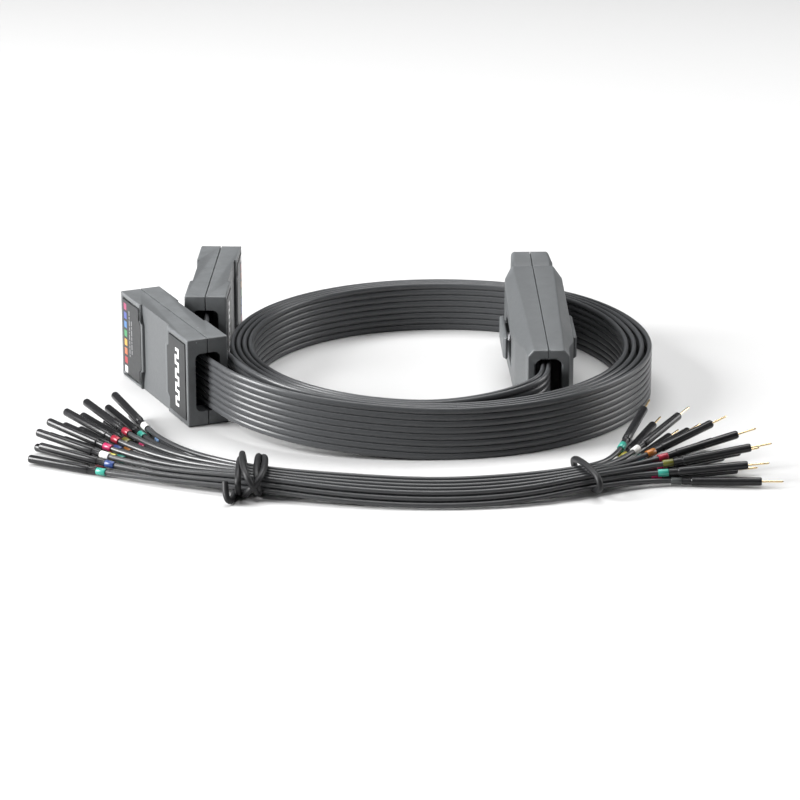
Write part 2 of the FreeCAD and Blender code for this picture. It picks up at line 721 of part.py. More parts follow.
def upright_band(label, points, ends):
    """A flat cable on edge along its route; it stays upright, and its ends stand along ``ends``."""
    radii = []
    wire = route_wire(points, radii)
    half = size("ribbon_thick") / 2
    tall = size("ribbon_wide") / 2
    across = ends.cross(Vector(0, 0, 1)).normalize() * half
    up = Vector(0, 0, tall)
    start = points[0]
    corners = [start - across - up, start + across - up, start + across + up, start - across + up]
    profile = Part.makePolygon(corners + [corners[0]])
    sweep = Part.BRepOffsetAPI.MakePipeShell(wire)
    sweep.setBiNormalMode(Vector(0, 0, 1))
    sweep.add(profile, False, False)
    sweep.build()
    sweep.makeSolid()
    shape = sweep.shape()
    check_volume(label, shape, 4 * half * tall, wire)
    solid_feature(label, shape)
    print("%s: length %.0f, least radius %.0f" % (label, wire.Length, min(radii)))


def in_housing(pose, across, along):
    return pose.multVec(Vector(across, along, 0))


# Routes from inside each housing's clamp to the coil, with the height of the cable's middle line.
TAIL_A = [(-38.3, -55.8, 13.4), (-26.5, -68.2, 12.3), (-11.5, -76.8, 10.9), (7.0, -80.1, 9.3)]
TAIL_B = [(-45.2, -16.0, 13.6), (-39.5, -32.0, 13.1), (-32.0, -51.0, 12.2), (-20.5, -65.6, 11.1),
          (-5.0, -74.4, 10.0), (9.5, -78.1, 8.9)]
TAIL_PLUG_INNER = [(59.9, -54.0, 12.0), (54.5, -63.0, 10.8), (42.5, -69.9, 9.2)]
TAIL_PLUG_OUTER = [(61.5, -54.5, 12.0), (56.0, -64.8, 10.8), (42.8, -71.5, 9.2)]


def build_tails():
    inside = size("clamp_at") + size("clamp_long") - 1.0
    middle = size("ribbon_wide") / 2
    full = 4 * math.pi
    routes = (
        ("pod_a_ribbon_tail", pod_a_pose, 0.0, TAIL_A, coil_point(full, 5, middle)),
        ("pod_b_ribbon_tail", pod_b_pose, 0.0, TAIL_B, coil_point(full, 4, middle)),
        ("plug_ribbon_tail_inner", plug_pose, -0.5, TAIL_PLUG_INNER, coil_point(0, 0, middle)),
        ("plug_ribbon_tail_outer", plug_pose, 0.5, TAIL_PLUG_OUTER, coil_point(0, 1, middle)),
    )
    for label, pose, layer, points, coil_end in routes:
        start = in_housing(pose, layer * size("ribbon_pitch"), inside)
        route = [start] + [Vector(*point) for point in points] + [coil_end]
        upright_band(label, route, (route[1] - route[0]))


# ---------------------------------------------------------------- flying leads
LEADS = 16
LEFT_TIE = (-27.0, -107.5)
RIGHT_TIE = (70.0, -107.0)
# How much further from the tie each lead's left and right ends lie than the fan's plain arc.
LEFT_REACH = [1.0, -1.5, 0.5, 2.5, -0.5, 1.5, -2.0, 0.0, 2.0, -1.0, 1.0, 3.0, -2.5, 0.5, 1.5, -3.0]
RIGHT_REACH = [2.5, -1.0, 1.0, -2.0, 0.5, 2.0, -0.5, -1.5, 1.5, 3.5, 0.0, 0.5, 2.0, -1.0, 1.0, 0.0]


def fan(tie, angle, distance, height):
    way = math.radians(angle)
    return Vector(tie[0] + distance * math.cos(way), tie[1] + distance * math.sin(way), height)


def slanted(angle, rise):
    way = math.radians(angle)
    return Vector(math.cos(way), math.sin(way), rise).normalize()


def lead_ends(number):
    """Where a lead's socket and pin ends begin, and which way they point."""
    share = number / (LEADS - 1)
    level = number % 3
    left = fan(LEFT_TIE, 163 - 38 * share, 46 + 8 * share + LEFT_REACH[number], 1.5 + 1.9 * level)
    left_way = slanted(154 - 40 * share, 0.01 + 0.05 * level)
    right = fan(RIGHT_TIE, 10 + 58 * share, 25 + RIGHT_REACH[number], 1.5 + 2.3 * level)
    right_way = slanted(-4 + 80 * share, 0.02 + 0.07 * level)
    return left, left_way, right, right_way


def lead_route(number):
    """The wire's route from one strain sleeve to the other, through both ties."""
    left, left_way, right, right_way = lead_ends(number)
    level = number % 3
    tied = (number - (LEADS - 1) / 2) * 0.6
    loose = (number - (LEADS - 1) / 2) * 0.95
    return [
        left,
        left - left_way * 17 + Vector(0, 0, 0.5),
        Vector(LEFT_TIE[0], LEFT_TIE[1] + tied, 2.95 + 1.55 * level),
        Vector(0.0, -112.5 + loose, 1.7 + 1.5 * level),
        Vector(26.0, -115.0 + loose, 1.1 + 1.5 * level),
        Vector(50.0, -112.5 + loose, 1.6 + 1.5 * level),
        Vector(RIGHT_TIE[0], RIGHT_TIE[1] + tied, 2.95 + 1.55 * level),
        right - right_way * 9 + Vector(0, 0, 0.3),
        right,
    ]


def lead_wire(number):
    radii = []
    points = lead_route(number)
    wire = route_wire(points, radii)
    first = (points[1] - points[0]).normalize()
    profile = Part.Wire(Part.makeCircle(size("wire_radius"), points[0], first))
    sweep = Part.BRepOffsetAPI.MakePipeShell(wire)
    sweep.setFrenetMode(False)
    sweep.add(profile, False, False)
    sweep.build()
    sweep.makeSolid()
    label = "lead_wire_%02d" % (number + 1)
    check_volume(label, sweep.shape(), math.pi * size("wire_radius") ** 2, wire)
    solid_feature(label, sweep.shape())
    print("%s: length %.0f, least radius %.0f" % (label, wire.Length, min(radii)))


def lead_housing(base, way):
    """A boot and a long plastic tube in one moulding, with a bore in its free end."""
    boot = Part.makeCylinder(size("boot_radius"), size("boot_long") + 0.5, base, way)
    tube_base = base + way * size("boot_long")
    tube = Part.makeCylinder(size("socket_radius"), size("socket_long"), tube_base, way)
    deep = size("socket_bore_deep")
    bore_base = tube_base + way * (size("socket_long") - deep)
    bore = Part.makeCylinder(size("socket_bore_radius"), deep + 1, bore_base, way)
    return boot.fuse(tube).removeSplitter().cut(bore)


def tip_pin(face, way):
    """A round pin on a square root, which the tube holds."""
    held = size("tip_pin_held")
    side = size("tip_root_side")
    root = Part.makeBox(side, side, held, Vector(-side / 2, -side / 2, 0))
    root.Placement = Placement(face - way * held, Rotation(Vector(0, 0, 1), way))
    free = Part.makeCylinder(size("tip_pin_radius"), size("tip_pin_long"), face, way)
    return root.fuse(free)


def marker_sleeve(base, way):
    """A coloured sleeve on the wire, behind the boot."""
    start = base - way * size("sleeve_long")
    outer = Part.makeCylinder(size("sleeve_radius"), size("sleeve_long"), start, way)
    inner = Part.makeCylinder(size("wire_radius") + 0.1, size("sleeve_long"), start, way)
    return outer.cut(inner)


def build_leads():
    sockets, pin_tubes, tips, sleeves = [], [], [], []
    for number in range(LEADS):
        lead_wire(number)
        left, left_way, right, right_way = lead_ends(number)
        sockets.append(lead_housing(left, left_way))
        pin_tubes.append(lead_housing(right, right_way))
        tips.append(tip_pin(right + right_way * (size("boot_long") + size("socket_long")), right_way))
        wire_start = (lead_route(number)[0] - lead_route(number)[1]).normalize()
        wire_end = (lead_route(number)[-1] - lead_route(number)[-2]).normalize()
        sleeves.append(marker_sleeve(left, wire_start))
        sleeves.append(marker_sleeve(right, wire_end))
    solid_feature("lead_sockets", Part.makeCompound(sockets))
    solid_feature("lead_pin_housings", Part.makeCompound(pin_tubes))
    solid_feature("lead_pin_tips", Part.makeCompound(tips))
    solid_feature("lead_marker_sleeves", Part.makeCompound(sleeves))


def twist_tie(label, tie, long):
    """A band round the whole bundle, open in the middle."""
    wall = size("tie_wall")
    wide = size("tie_inside_wide")
    tall = size("tie_inside_tall")
    low_y = tie[1] + size("tie_shift") - wide / 2
    corner = Vector(tie[0] - long / 2, low_y - wall, 0.0)
    outer = Part.makeBox(long, wide + 2 * wall, tall + 2 * wall, corner)
    hole = Part.makeBox(long + 2, wide, tall, Vector(tie[0] - long / 2 - 1, low_y, wall))
    edges = [edge for edge in outer.Edges if abs(edge.tangentAt(edge.FirstParameter).x) > 0.9]
    solid_feature(label, outer.makeFillet(wall - 0.1, edges).cut(hole))


# ---------------------------------------------------------------- the whole set
build_plug()
build_pod("pod_a", pod_a_pose)
build_pod("pod_b", pod_b_pose)
build_coil()
build_tails()
build_leads()
twist_tie("twist_tie_left", LEFT_TIE, size("left_tie_long"))
twist_tie("twist_tie_right", RIGHT_TIE, size("right_tie_long"))
doc.recompute()

for item in doc.Objects:
    if "Invalid" in item.State or "Error" in item.State:
        raise ValueError("%s failed: %s" % (item.Label, item.State))
os.makedirs("parts", exist_ok=True)
for item in nodes:
    if item.Shape.isNull() or not item.Shape.isValid() or not item.Shape.Solids:
        raise ValueError("%s has no valid solid" % item.Label)
    item.Shape.exportStep("parts/%s.step" % item.Label)
print("%d nodes" % len(nodes))
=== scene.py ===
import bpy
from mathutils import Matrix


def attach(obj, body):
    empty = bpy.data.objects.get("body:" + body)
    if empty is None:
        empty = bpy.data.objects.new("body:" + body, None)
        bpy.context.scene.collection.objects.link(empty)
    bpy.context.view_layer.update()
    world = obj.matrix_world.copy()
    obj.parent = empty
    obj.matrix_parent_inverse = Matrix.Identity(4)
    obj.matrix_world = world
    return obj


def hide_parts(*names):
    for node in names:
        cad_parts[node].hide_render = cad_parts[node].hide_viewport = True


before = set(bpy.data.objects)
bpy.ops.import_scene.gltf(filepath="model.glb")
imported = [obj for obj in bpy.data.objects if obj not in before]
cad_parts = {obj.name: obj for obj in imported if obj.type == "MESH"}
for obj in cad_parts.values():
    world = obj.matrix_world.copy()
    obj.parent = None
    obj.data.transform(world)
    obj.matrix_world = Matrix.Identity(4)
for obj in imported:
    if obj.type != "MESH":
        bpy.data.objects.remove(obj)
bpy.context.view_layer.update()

import math

import bmesh
import bpy
from mathutils import Matrix, Vector

bl_info = {
    "name": "Logic Probe Set",
    "version": (1, 0, 0),
    "blender": (4, 5, 0),
    "location": "3D View > Sidebar > Probe Set",
    "description": "Oscilloscope plug, coiled ribbon cables, two probe pods and a tied bundle of flying leads",
    "category": "Object",
}

MM = 0.001


def mm(x, y, z):
    """A place given in millimetres."""
    return Vector((x, y, z)) * MM


# ---- places of the three housings
def standing(x, y, z, heading, roll=0.0, tilt=0.0):
    """A housing's own frame: +Y from its cable end to its other end, X across it."""
    turn = Matrix.Rotation(math.radians(heading - 90.0), 4, "Z")
    roll_turn = Matrix.Rotation(math.radians(roll), 4, "Y")
    tilt_turn = Matrix.Rotation(math.radians(tilt), 4, "X")
    return Matrix.Translation(mm(x, y, z)) @ turn @ roll_turn @ tilt_turn


PLUG_STEP = 73.0
MOUTH_HALF_TALL, NOSE_HALF_TALL = 12.25, 15.0
# The plug lies on its mouth and its nose, so it leans by the difference of their heights.
PLUG_TILT = math.degrees(math.atan((NOSE_HALF_TALL - MOUTH_HALF_TALL) / PLUG_STEP))
PLUG = standing(60.7, -50.5, MOUTH_HALF_TALL / math.cos(math.radians(PLUG_TILT)), 91.8, tilt=PLUG_TILT)
POD_A = standing(-41.9, -48.7, 13.8, 114.87)
POD_B = standing(-44.9, -5.8, 13.8, 87.8, roll=180.0)
PODS = {"pod_a": POD_A, "pod_b": POD_B}
# How far in the cable clamps end, and how far from the middle the label plates' faces lie.
CLAMP_END = 16.0
POD_FACE = -6.7
# The pods' cable mouth: width, height and the rounding of its corners.
MOUTH_WIDE, MOUTH_TALL, MOUTH_CORNER = 8.0, 18.4, 1.8
# Half the gap between two half shells at the skin and inside, and the rounding of the gap's edges.
SEAM, INNER_SEAM, SEAM_EDGE = 0.12, 0.01, 0.16
# A pod's skin lies beyond this height, and past this far along.
POD_SKIN, POD_INSIDE_END = 13.6, 56.9


# ---- sizes and colours a user may change
class ProbeSetSizes(bpy.types.PropertyGroup):
    """Sizes of the drawn pieces, in metres."""

    core_wide: bpy.props.FloatProperty(
        name="Ribbon Core Width", description="Height of one core of the standing ribbon",
        default=2.07 * MM, unit="LENGTH", subtype="DISTANCE")
    ribbon_thick: bpy.props.FloatProperty(
        name="Ribbon Thickness", description="Thickness of the flat cable",
        default=1.45 * MM, unit="LENGTH", subtype="DISTANCE")
    wire_radius: bpy.props.FloatProperty(
        name="Lead Wire Radius", description="Outer radius of a flying lead's insulation",
        default=0.75 * MM, unit="LENGTH", subtype="DISTANCE")
    tie_radius: bpy.props.FloatProperty(
        name="Tie Strand Radius", description="Radius of the rubber strand that ties the bundle",
        default=0.95 * MM, unit="LENGTH", subtype="DISTANCE")
    edge_radius: bpy.props.FloatProperty(
        name="Housing Edge Radius", description="Rounding of the moulded housings' outer edges",
        default=0.5 * MM, unit="LENGTH", subtype="DISTANCE")
    lever_edge_radius: bpy.props.FloatProperty(
        name="Lever Edge Radius", description="Rounding of the latch levers' edges",
        default=0.45 * MM, unit="LENGTH", subtype="DISTANCE")


class ProbeSetColours(bpy.types.PropertyGroup):
    """Base colours of the finishes."""

    housing: bpy.props.FloatVectorProperty(
        name="Housing", description="Moulded plug and pod housings", subtype="COLOR",
        size=3, min=0.0, max=1.0, default=(0.082, 0.0865, 0.0895))
    ribbon: bpy.props.FloatVectorProperty(
        name="Ribbon Cable", description="PVC of the flat cables", subtype="COLOR",
        size=3, min=0.0, max=1.0, default=(0.056, 0.058, 0.061))
    wire: bpy.props.FloatVectorProperty(
        name="Lead Wire", description="PVC of the flying leads", subtype="COLOR",
        size=3, min=0.0, max=1.0, default=(0.036, 0.037, 0.039))
    tube: bpy.props.FloatVectorProperty(
        name="Lead Tube", description="Sockets and pin tubes of the leads", subtype="COLOR",
        size=3, min=0.0, max=1.0, default=(0.012, 0.012, 0.013))
    tie: bpy.props.FloatVectorProperty(
        name="Tie Rubber", description="Rubber of the two ties", subtype="COLOR",
        size=3, min=0.0, max=1.0, default=(0.012, 0.012, 0.013))
    floor: bpy.props.FloatVectorProperty(
        name="Floor", description="The pale ground the set lies on", subtype="COLOR",
        size=3, min=0.0, max=1.0, default=(0.56, 0.56, 0.56))


# ---- shader node helpers
def put(tree, kind, inputs=None, **settings):
    """One node, with its settings, and its inputs as values or links."""
    node = tree.nodes.new(kind)
    for name, setting in settings.items():
        setattr(node, name, setting)
    for name, value in (inputs or {}).items():
        if isinstance(value, bpy.types.NodeSocket):
            tree.links.new(value, node.inputs[name])
        else:
            node.inputs[name].default_value = value
    return node


def maths(tree, operation, *values, **settings):
    """The result of a maths node on values or links."""
    return put(tree, "ShaderNodeMath", dict(enumerate(values)), operation=operation, **settings).outputs[0]


def effect_group(name, inputs, outputs):
    """An empty node group with named sockets, and its two end nodes."""
    tree = bpy.data.node_groups.new(name, "ShaderNodeTree")
    for label, kind, value in inputs:
        socket = tree.interface.new_socket(label, in_out="INPUT", socket_type=kind)
        socket.default_value = value
    for label, kind in outputs:
        tree.interface.new_socket(label, in_out="OUTPUT", socket_type=kind)
    return tree, tree.nodes.new("NodeGroupInput"), tree.nodes.new("NodeGroupOutput")


FLOAT, COLOUR, VECTOR = "NodeSocketFloat", "NodeSocketColor", "NodeSocketVector"


def grain_group():
    """Fine moulded texture: a little bump, cloudy shade and uneven gloss."""
    tree, start, end = effect_group("Moulded Grain", [
        ("Colour", COLOUR, (0.2, 0.2, 0.2, 1.0)), ("Shade Spread", FLOAT, 0.08),
        ("Roughness", FLOAT, 0.5), ("Gloss Spread", FLOAT, 0.08),
        ("Grain Scale", FLOAT, 4000.0), ("Grain Depth", FLOAT, 0.3)],
        [("Colour", COLOUR), ("Roughness", FLOAT), ("Normal", VECTOR)])
    place = put(tree, "ShaderNodeTexCoord").outputs["Object"]
    fine = put(tree, "ShaderNodeTexNoise", {
        "Vector": place, "Scale": start.outputs["Grain Scale"], "Detail": 3.0, "Roughness": 0.6})
    cloud = put(tree, "ShaderNodeTexNoise", {"Vector": place, "Scale": 130.0, "Detail": 4.0, "Roughness": 0.55})
    streak = put(tree, "ShaderNodeTexNoise", {"Vector": place, "Scale": 900.0, "Detail": 2.0})
    swing = maths(tree, "ADD", cloud.outputs["Fac"], -0.5)
    shade = maths(tree, "MULTIPLY_ADD", swing, start.outputs["Shade Spread"], 1.0)
    tint = put(tree, "ShaderNodeVectorMath", {0: start.outputs["Colour"], "Scale": shade}, operation="SCALE")
    swing = maths(tree, "ADD", streak.outputs["Fac"], -0.5)
    gloss = maths(tree, "MULTIPLY_ADD", swing, start.outputs["Gloss Spread"], start.outputs["Roughness"],
                  use_clamp=True)
    bump = put(tree, "ShaderNodeBump", {
        "Strength": start.outputs["Grain Depth"], "Distance": 0.00005, "Height": fine.outputs["Fac"]})
    for label, result in (("Colour", tint.outputs[0]), ("Roughness", gloss), ("Normal", bump.outputs[0])):
        tree.links.new(result, end.inputs[label])
    return tree


def edge_highlight_group():
    """A mask of the outer edges, which lightens them as a painted highlight where rounded edges catch the light.
    """
    tree, start, end = effect_group("Painted Edge Highlight", [
        ("Reach", FLOAT, 0.06), ("Amount", FLOAT, 0.4)], [("Mask", FLOAT)])
    point = put(tree, "ShaderNodeNewGeometry").outputs["Pointiness"]
    place = put(tree, "ShaderNodeTexCoord").outputs["Object"]
    patch = put(tree, "ShaderNodeTexNoise", {"Vector": place, "Scale": 260.0, "Detail": 3.0})
    limit = maths(tree, "ADD", 0.5, start.outputs["Reach"])
    edge = put(tree, "ShaderNodeMapRange", {
        "Value": point, "From Min": 0.505, "From Max": limit}, clamp=True)
    broken = maths(tree, "MULTIPLY", edge.outputs[0], patch.outputs["Fac"])
    mask = maths(tree, "MULTIPLY", broken, start.outputs["Amount"], use_clamp=True)
    tree.links.new(mask, end.inputs["Mask"])
    return tree


def dust_group():
    """A mask of sparse pale specks."""
    tree, start, end = effect_group("Dust Specks", [
        ("Scale", FLOAT, 220.0), ("Amount", FLOAT, 0.3)], [("Mask", FLOAT)])
    place = put(tree, "ShaderNodeTexCoord").outputs["Object"]
    cell = put(tree, "ShaderNodeTexVoronoi", {"Vector": place, "Scale": start.outputs["Scale"]})
    speck = maths(tree, "LESS_THAN", cell.outputs["Distance"], 0.045)
    here = put(tree, "ShaderNodeSeparateColor", {"Color": cell.outputs["Color"]})
    some = maths(tree, "LESS_THAN", here.outputs[0], start.outputs["Amount"])
    mask = maths(tree, "MULTIPLY", speck, some)
    tree.links.new(mask, end.inputs["Mask"])
    return tree


GROUPS = {"grain": grain_group, "rub": edge_highlight_group, "dust": dust_group}
made_groups = {}
made_finishes = {}
# How much lighter than the surface its painted edge highlights and its dust are, and the lightest they may be.
EDGE_HIGHLIGHT_TONE, DUST_TONE, PALEST = 1.8, 3.0, 0.8


def shared(name):
    """The node group of that name, made when it is first asked for."""
    if name not in made_groups:
        made_groups[name] = GROUPS[name]()
    return made_groups[name]


def moulded(name, colour, roughness, shade=0.08, gloss=0.08, grain=(4000.0, 0.3), rub=0.0, dust=0.0, **fixed):
    """A material of grain, painted highlights on its outer edges and dust; ``fixed`` sets the shader's own
    sockets.
    """
    material = bpy.data.materials.new(name)
    material.use_nodes = True
    tree = material.node_tree
    shader = tree.nodes["Principled BSDF"]
    surface = put(tree, "ShaderNodeGroup", node_tree=shared("grain"))
    for label, value in (("Colour", (*colour, 1.0)), ("Shade Spread", shade), ("Roughness", roughness),
                         ("Gloss Spread", gloss), ("Grain Scale", grain[0]), ("Grain Depth", grain[1])):
        surface.inputs[label].default_value = value
    paint = surface.outputs["Colour"]
    # The edge mask paints a highlight onto the outer edges; the dust mask adds pale specks of dust.
    for kind, amount, tone in (("rub", rub, EDGE_HIGHLIGHT_TONE), ("dust", dust, DUST_TONE)):
        if amount > 0.0:
            spot = put(tree, "ShaderNodeGroup", node_tree=shared(kind))
            spot.inputs["Amount"].default_value = amount
            lighter = tuple(min(PALEST, part * tone + 0.01) for part in colour)
            mix = put(tree, "ShaderNodeMix", {0: spot.outputs["Mask"], 6: paint, 7: (*lighter, 1.0)},
                      data_type="RGBA")
            paint = mix.outputs[2]
    tree.links.new(paint, shader.inputs["Base Color"])
    tree.links.new(surface.outputs["Roughness"], shader.inputs["Roughness"])
    tree.links.new(surface.outputs["Normal"], shader.inputs["Normal"])
    for label, value in fixed.items():
        shader.inputs[label.replace("_", " ")].default_value = value
    return material


SLEEVE_INKS = {
    "teal": (0.03, 0.27, 0.21), "navy": (0.016, 0.04, 0.15), "white": (0.62, 0.62, 0.6),
    "red": (0.26, 0.012, 0.03), "yellow": (0.5, 0.45, 0.08), "pink": (0.36, 0.015, 0.08),
    "orange": (0.33, 0.12, 0.02), "light_blue": (0.17, 0.3, 0.52), "olive": (0.1, 0.1, 0.015),
    "grey": (0.05, 0.055, 0.055),
}
# From the top of a label down.
CHANNEL_INKS = {
    "magenta": (0.26, 0.03, 0.09), "blue": (0.045, 0.065, 0.25), "sky": (0.045, 0.13, 0.3),
    "green": (0.03, 0.2, 0.07), "amber": (0.46, 0.24, 0.035), "vermilion": (0.38, 0.1, 0.035),
    "red": (0.28, 0.012, 0.018), "white": (0.6, 0.6, 0.6),
}


# Each finish: its material's name, its colour (or which of the user's colours), roughness, spread of
# shade, spread of gloss, scale and depth of the grain, and what else differs from a plain surface.
FINISHES = {
    # The edge amount of the housing paints highlights onto its outer edges.
    "housing": ("moulded housing", "housing", 0.46, 0.05, 0.1, (5200.0, 0.35),
                {"rub": 0.85, "dust": 0.12, "Specular_IOR_Level": 0.5}),
    "ribbon": ("ribbon cable vinyl", "ribbon", 0.32, 0.1, 0.1, (2600.0, 0.12), {"Specular_IOR_Level": 0.38}),
    "wire": ("lead wire vinyl", "wire", 0.3, 0.1, 0.1, (2600.0, 0.12), {"Specular_IOR_Level": 0.55}),
    # The edge amount of the tube paints highlights onto its outer edges, as on the housing.
    "tube": ("glossy lead tube", "tube", 0.22, 0.2, 0.12, (1800.0, 0.1),
             {"rub": 0.5, "dust": 0.1, "Specular_IOR_Level": 0.32}),
    "tie": ("tie rubber", "tie", 0.48, 0.2, 0.15, (3000.0, 0.5), {"dust": 0.2, "Specular_IOR_Level": 0.3}),
    "pin": ("gold plating", (0.86, 0.68, 0.42), 0.24, 0.08, 0.1, (5000.0, 0.1), {"Metallic": 1.0}),
    "steel": ("plated steel", (0.55, 0.55, 0.57), 0.32, 0.06, 0.1, (5000.0, 0.2), {"Metallic": 1.0}),
    "board": ("circuit board resist", (0.02, 0.13, 0.05), 0.35, 0.25, 0.1, (1500.0, 0.2), {}),
    "chip": ("chip epoxy", (0.02, 0.02, 0.021), 0.55, 0.1, 0.1, (6000.0, 0.5), {}),
    "insulator": ("insulator", (0.02, 0.02, 0.022), 0.42, 0.1, 0.1, (4200.0, 0.3), {}),
    "plate": ("printed label film", (0.032, 0.033, 0.034), 0.4, 0.06, 0.08, (3500.0, 0.15),
              {"Specular_IOR_Level": 0.16}),
    "print": ("white print", (0.82, 0.82, 0.82), 0.4, 0.04, 0.05, (3500.0, 0.1), {}),
    "faint_print": ("fine grey print", (0.17, 0.17, 0.175), 0.4, 0.04, 0.05, (3500.0, 0.1), {}),
}
FINISHES.update({"sleeve " + ink: ("sleeve " + ink, colour, 0.3, 0.12, 0.1, (2400.0, 0.15), {})
                 for ink, colour in SLEEVE_INKS.items()})
FINISHES.update({"channel " + ink: ("channel " + ink, colour, 0.38, 0.12, 0.1, (2400.0, 0.15), {})
                 for ink, colour in CHANNEL_INKS.items()})


def finish_of(name):
    """The material of that finish, made when it is first asked for."""
    if name not in made_finishes:
        label, colour, roughness, shade, gloss, grain, others = FINISHES[name]
        if isinstance(colour, str):
            colour = getattr(bpy.context.scene.probe_set_colours, colour)
        made_finishes[name] = moulded(label, colour, roughness, shade, gloss, grain, **others)
    return made_finishes[name]


# ---- mesh helpers
# Points nearer than this are one point.
WELD = 0.002 * MM
# An edge that turns less than the first is left out of a flat, more than the second is rounded, and
# more than the third is shaded sharp.
FLAT_TURN, EDGE_TURN, SHARP_TURN = math.radians(0.8), math.radians(18.0), math.radians(38.0)
# The shortest edge that is rounded.
POD_LEAST_EDGE, PLUG_LEAST_EDGE, LEVER_LEAST_EDGE = 2.2 * MM, 1.5 * MM, 1.2 * MM
# How near an edge lies to a corner of the cable mouth, and the least it runs in from it.
CORNER_NEAR, CORNER_DEEP = 0.05, 2.0
# How near the middle a point or an edge of the split line lies, how far off it the other edges lie, and
# the least slant across it of an edge that is no part of its rounding.
SEAM_POINT, SEAM_NEAR, SEAM_CLEAR, SEAM_SLANT = 0.15 * MM, 0.2 * MM, 0.3 * MM, 1.0 * MM
# How thick printed ink is, and how far its lower face stands in the label's.
INK_THICK, INK_SUNK = 0.03, 0.005


def piece_from(work, name, finish, body="probe_set"):
    """Makes an object of a finished bmesh, smooth but for its sharp edges, riding on a body."""
    mesh = bpy.data.meshes.new(name)
    work.to_mesh(mesh)
    work.free()
    mesh.polygons.foreach_set("use_smooth", [True] * len(mesh.polygons))
    mesh.set_sharp_from_angle(angle=SHARP_TURN)
    mesh.materials.append(finish_of(finish))
    piece = bpy.data.objects.new(name, mesh)
    bpy.context.scene.collection.objects.link(piece)
    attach(piece, body)
    return piece


def evenly_shaded(piece):
    """The same piece, with its flats shaded flat up to their roundings."""
    even = piece.modifiers.new("even shading", "WEIGHTED_NORMAL")
    even.keep_sharp = True
    return piece


def along(base, way):
    """A frame at ``base`` whose Z axis lies along ``way``."""
    return Matrix.Translation(base) @ way.to_track_quat("Z", "Y").to_matrix().to_4x4()


def turned(name, profile, place, finish, closed=False, steps=28):
    """A round piece: a profile of (radius, height) pairs in millimetres, spun about its axis."""
    work = bmesh.new()
    verts = [work.verts.new(mm(radius, 0.0, height)) for radius, height in profile]
    pairs = list(zip(verts, verts[1:])) + ([(verts[-1], verts[0])] if closed else [])
    edges = [work.edges.new(pair) for pair in pairs]
    bmesh.ops.spin(work, geom=verts + edges, cent=(0, 0, 0), axis=(0, 0, 1), dvec=(0, 0, 0),
                   angle=math.tau, steps=steps, use_merge=True, use_duplicate=False)
    bmesh.ops.remove_doubles(work, verts=work.verts, dist=WELD)
    bmesh.ops.recalc_face_normals(work, faces=work.faces)
    bmesh.ops.transform(work, matrix=place, verts=work.verts)
    return piece_from(work, name, finish)


def mouth_corners(work, home):
    """The inner edges that run into a housing from the corners of its cable mouth."""
    found = []
    for edge in work.edges:
        near, far = sorted(((home @ vert.co) / MM for vert in edge.verts), key=lambda spot: spot.y)
        off_corner = max(abs(abs(near.z) - MOUTH_TALL / 2), abs(abs(near.x) - MOUTH_WIDE / 2))
        if off_corner < CORNER_NEAR and near.y < 0.1 and far.y > CORNER_DEEP:
            found.append(edge)
    return found


def at_seam(edge, home):
    """True for an edge of the split line between two half shells."""
    return all(abs((home @ vert.co).x) < SEAM_NEAR for vert in edge.verts)


def away_from_seam(edge, home):
    """True unless an edge lies along the seam, or is a short one of its rounding."""
    near, far = (abs((home @ vert.co).x) for vert in edge.verts)
    return min(near, far) > SEAM_CLEAR or abs(near - far) > SEAM_SLANT


def close_seam(work, place):
    """Leaves a half shell's split line open at the skin, and brings the two halves together within."""
    home = place.inverted()
    for vert in work.verts:
        spot = home @ vert.co
        if abs(spot.x) < SEAM_POINT:
            within = abs(spot.z) < POD_SKIN * MM and 0.1 * MM < spot.y < POD_INSIDE_END * MM
            spot.x = math.copysign((INNER_SEAM if within else SEAM) * MM, spot.x)
            vert.co = place @ spot


def rounded(work, edges, radius, segments=3):
    """Rounds the edges."""
    bmesh.ops.bevel(work, geom=edges, offset=radius, offset_type="OFFSET", segments=segments, profile=0.5,
                    affect="EDGES", clamp_overlap=False, material=-1, loop_slide=True)


def outer_edges(work, least):
    """The convex edges that are longer than ``least``."""
    return [edge for edge in work.edges
            if len(edge.link_faces) == 2 and edge.is_convex and edge.calc_length() > least
            and edge.calc_face_angle(0.0) > EDGE_TURN]


def round_shell(work, home, least, radius):
    """Rounds a half shell's long outer edges, and those of its split line by less."""
    seam = [edge for edge in outer_edges(work, least) if at_seam(edge, home)]
    rounded(work, seam, SEAM_EDGE * MM, 2)
    rounded(work, [edge for edge in outer_edges(work, least) if away_from_seam(edge, home)], radius)


def softened(node, name, radius, body="probe_set", least=POD_LEAST_EDGE, place=None):
    """A copy of a CAD node with its long outer edges rounded; it stands for the node."""
    work = bmesh.new()
    work.from_mesh(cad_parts[node].data)
    bmesh.ops.remove_doubles(work, verts=work.verts, dist=WELD)
    bmesh.ops.dissolve_limit(work, angle_limit=FLAT_TURN, verts=work.verts, edges=work.edges,
                             delimit={"NORMAL"})
    if place:
        home = place.inverted()
        rounded(work, mouth_corners(work, home), MOUTH_CORNER * MM, 5)
        close_seam(work, place)
        round_shell(work, home, least, radius)
    else:
        rounded(work, outer_edges(work, least), radius)
    piece = evenly_shaded(piece_from(work, name, "housing", body))
    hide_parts(node)


def printed(name, outlines, place, finish):
    """Thin flat ink on a label, of closed outlines across its face."""
    work = bmesh.new()
    for corners in outlines:
        face = work.faces.new([work.verts.new(mm(0.0, along_pod, up)) for along_pod, up in corners])
        raised = bmesh.ops.extrude_face_region(work, geom=[face])
        top = [item for item in raised["geom"] if isinstance(item, bmesh.types.BMVert)]
        bmesh.ops.translate(work, vec=mm(-INK_THICK, 0.0, 0.0), verts=top)
    bmesh.ops.recalc_face_normals(work, faces=work.faces)
    bmesh.ops.transform(work, matrix=place @ Matrix.Translation(mm(POD_FACE + INK_SUNK, 0.0, 0.0)),
                        verts=work.verts)
    return piece_from(work, name, finish)


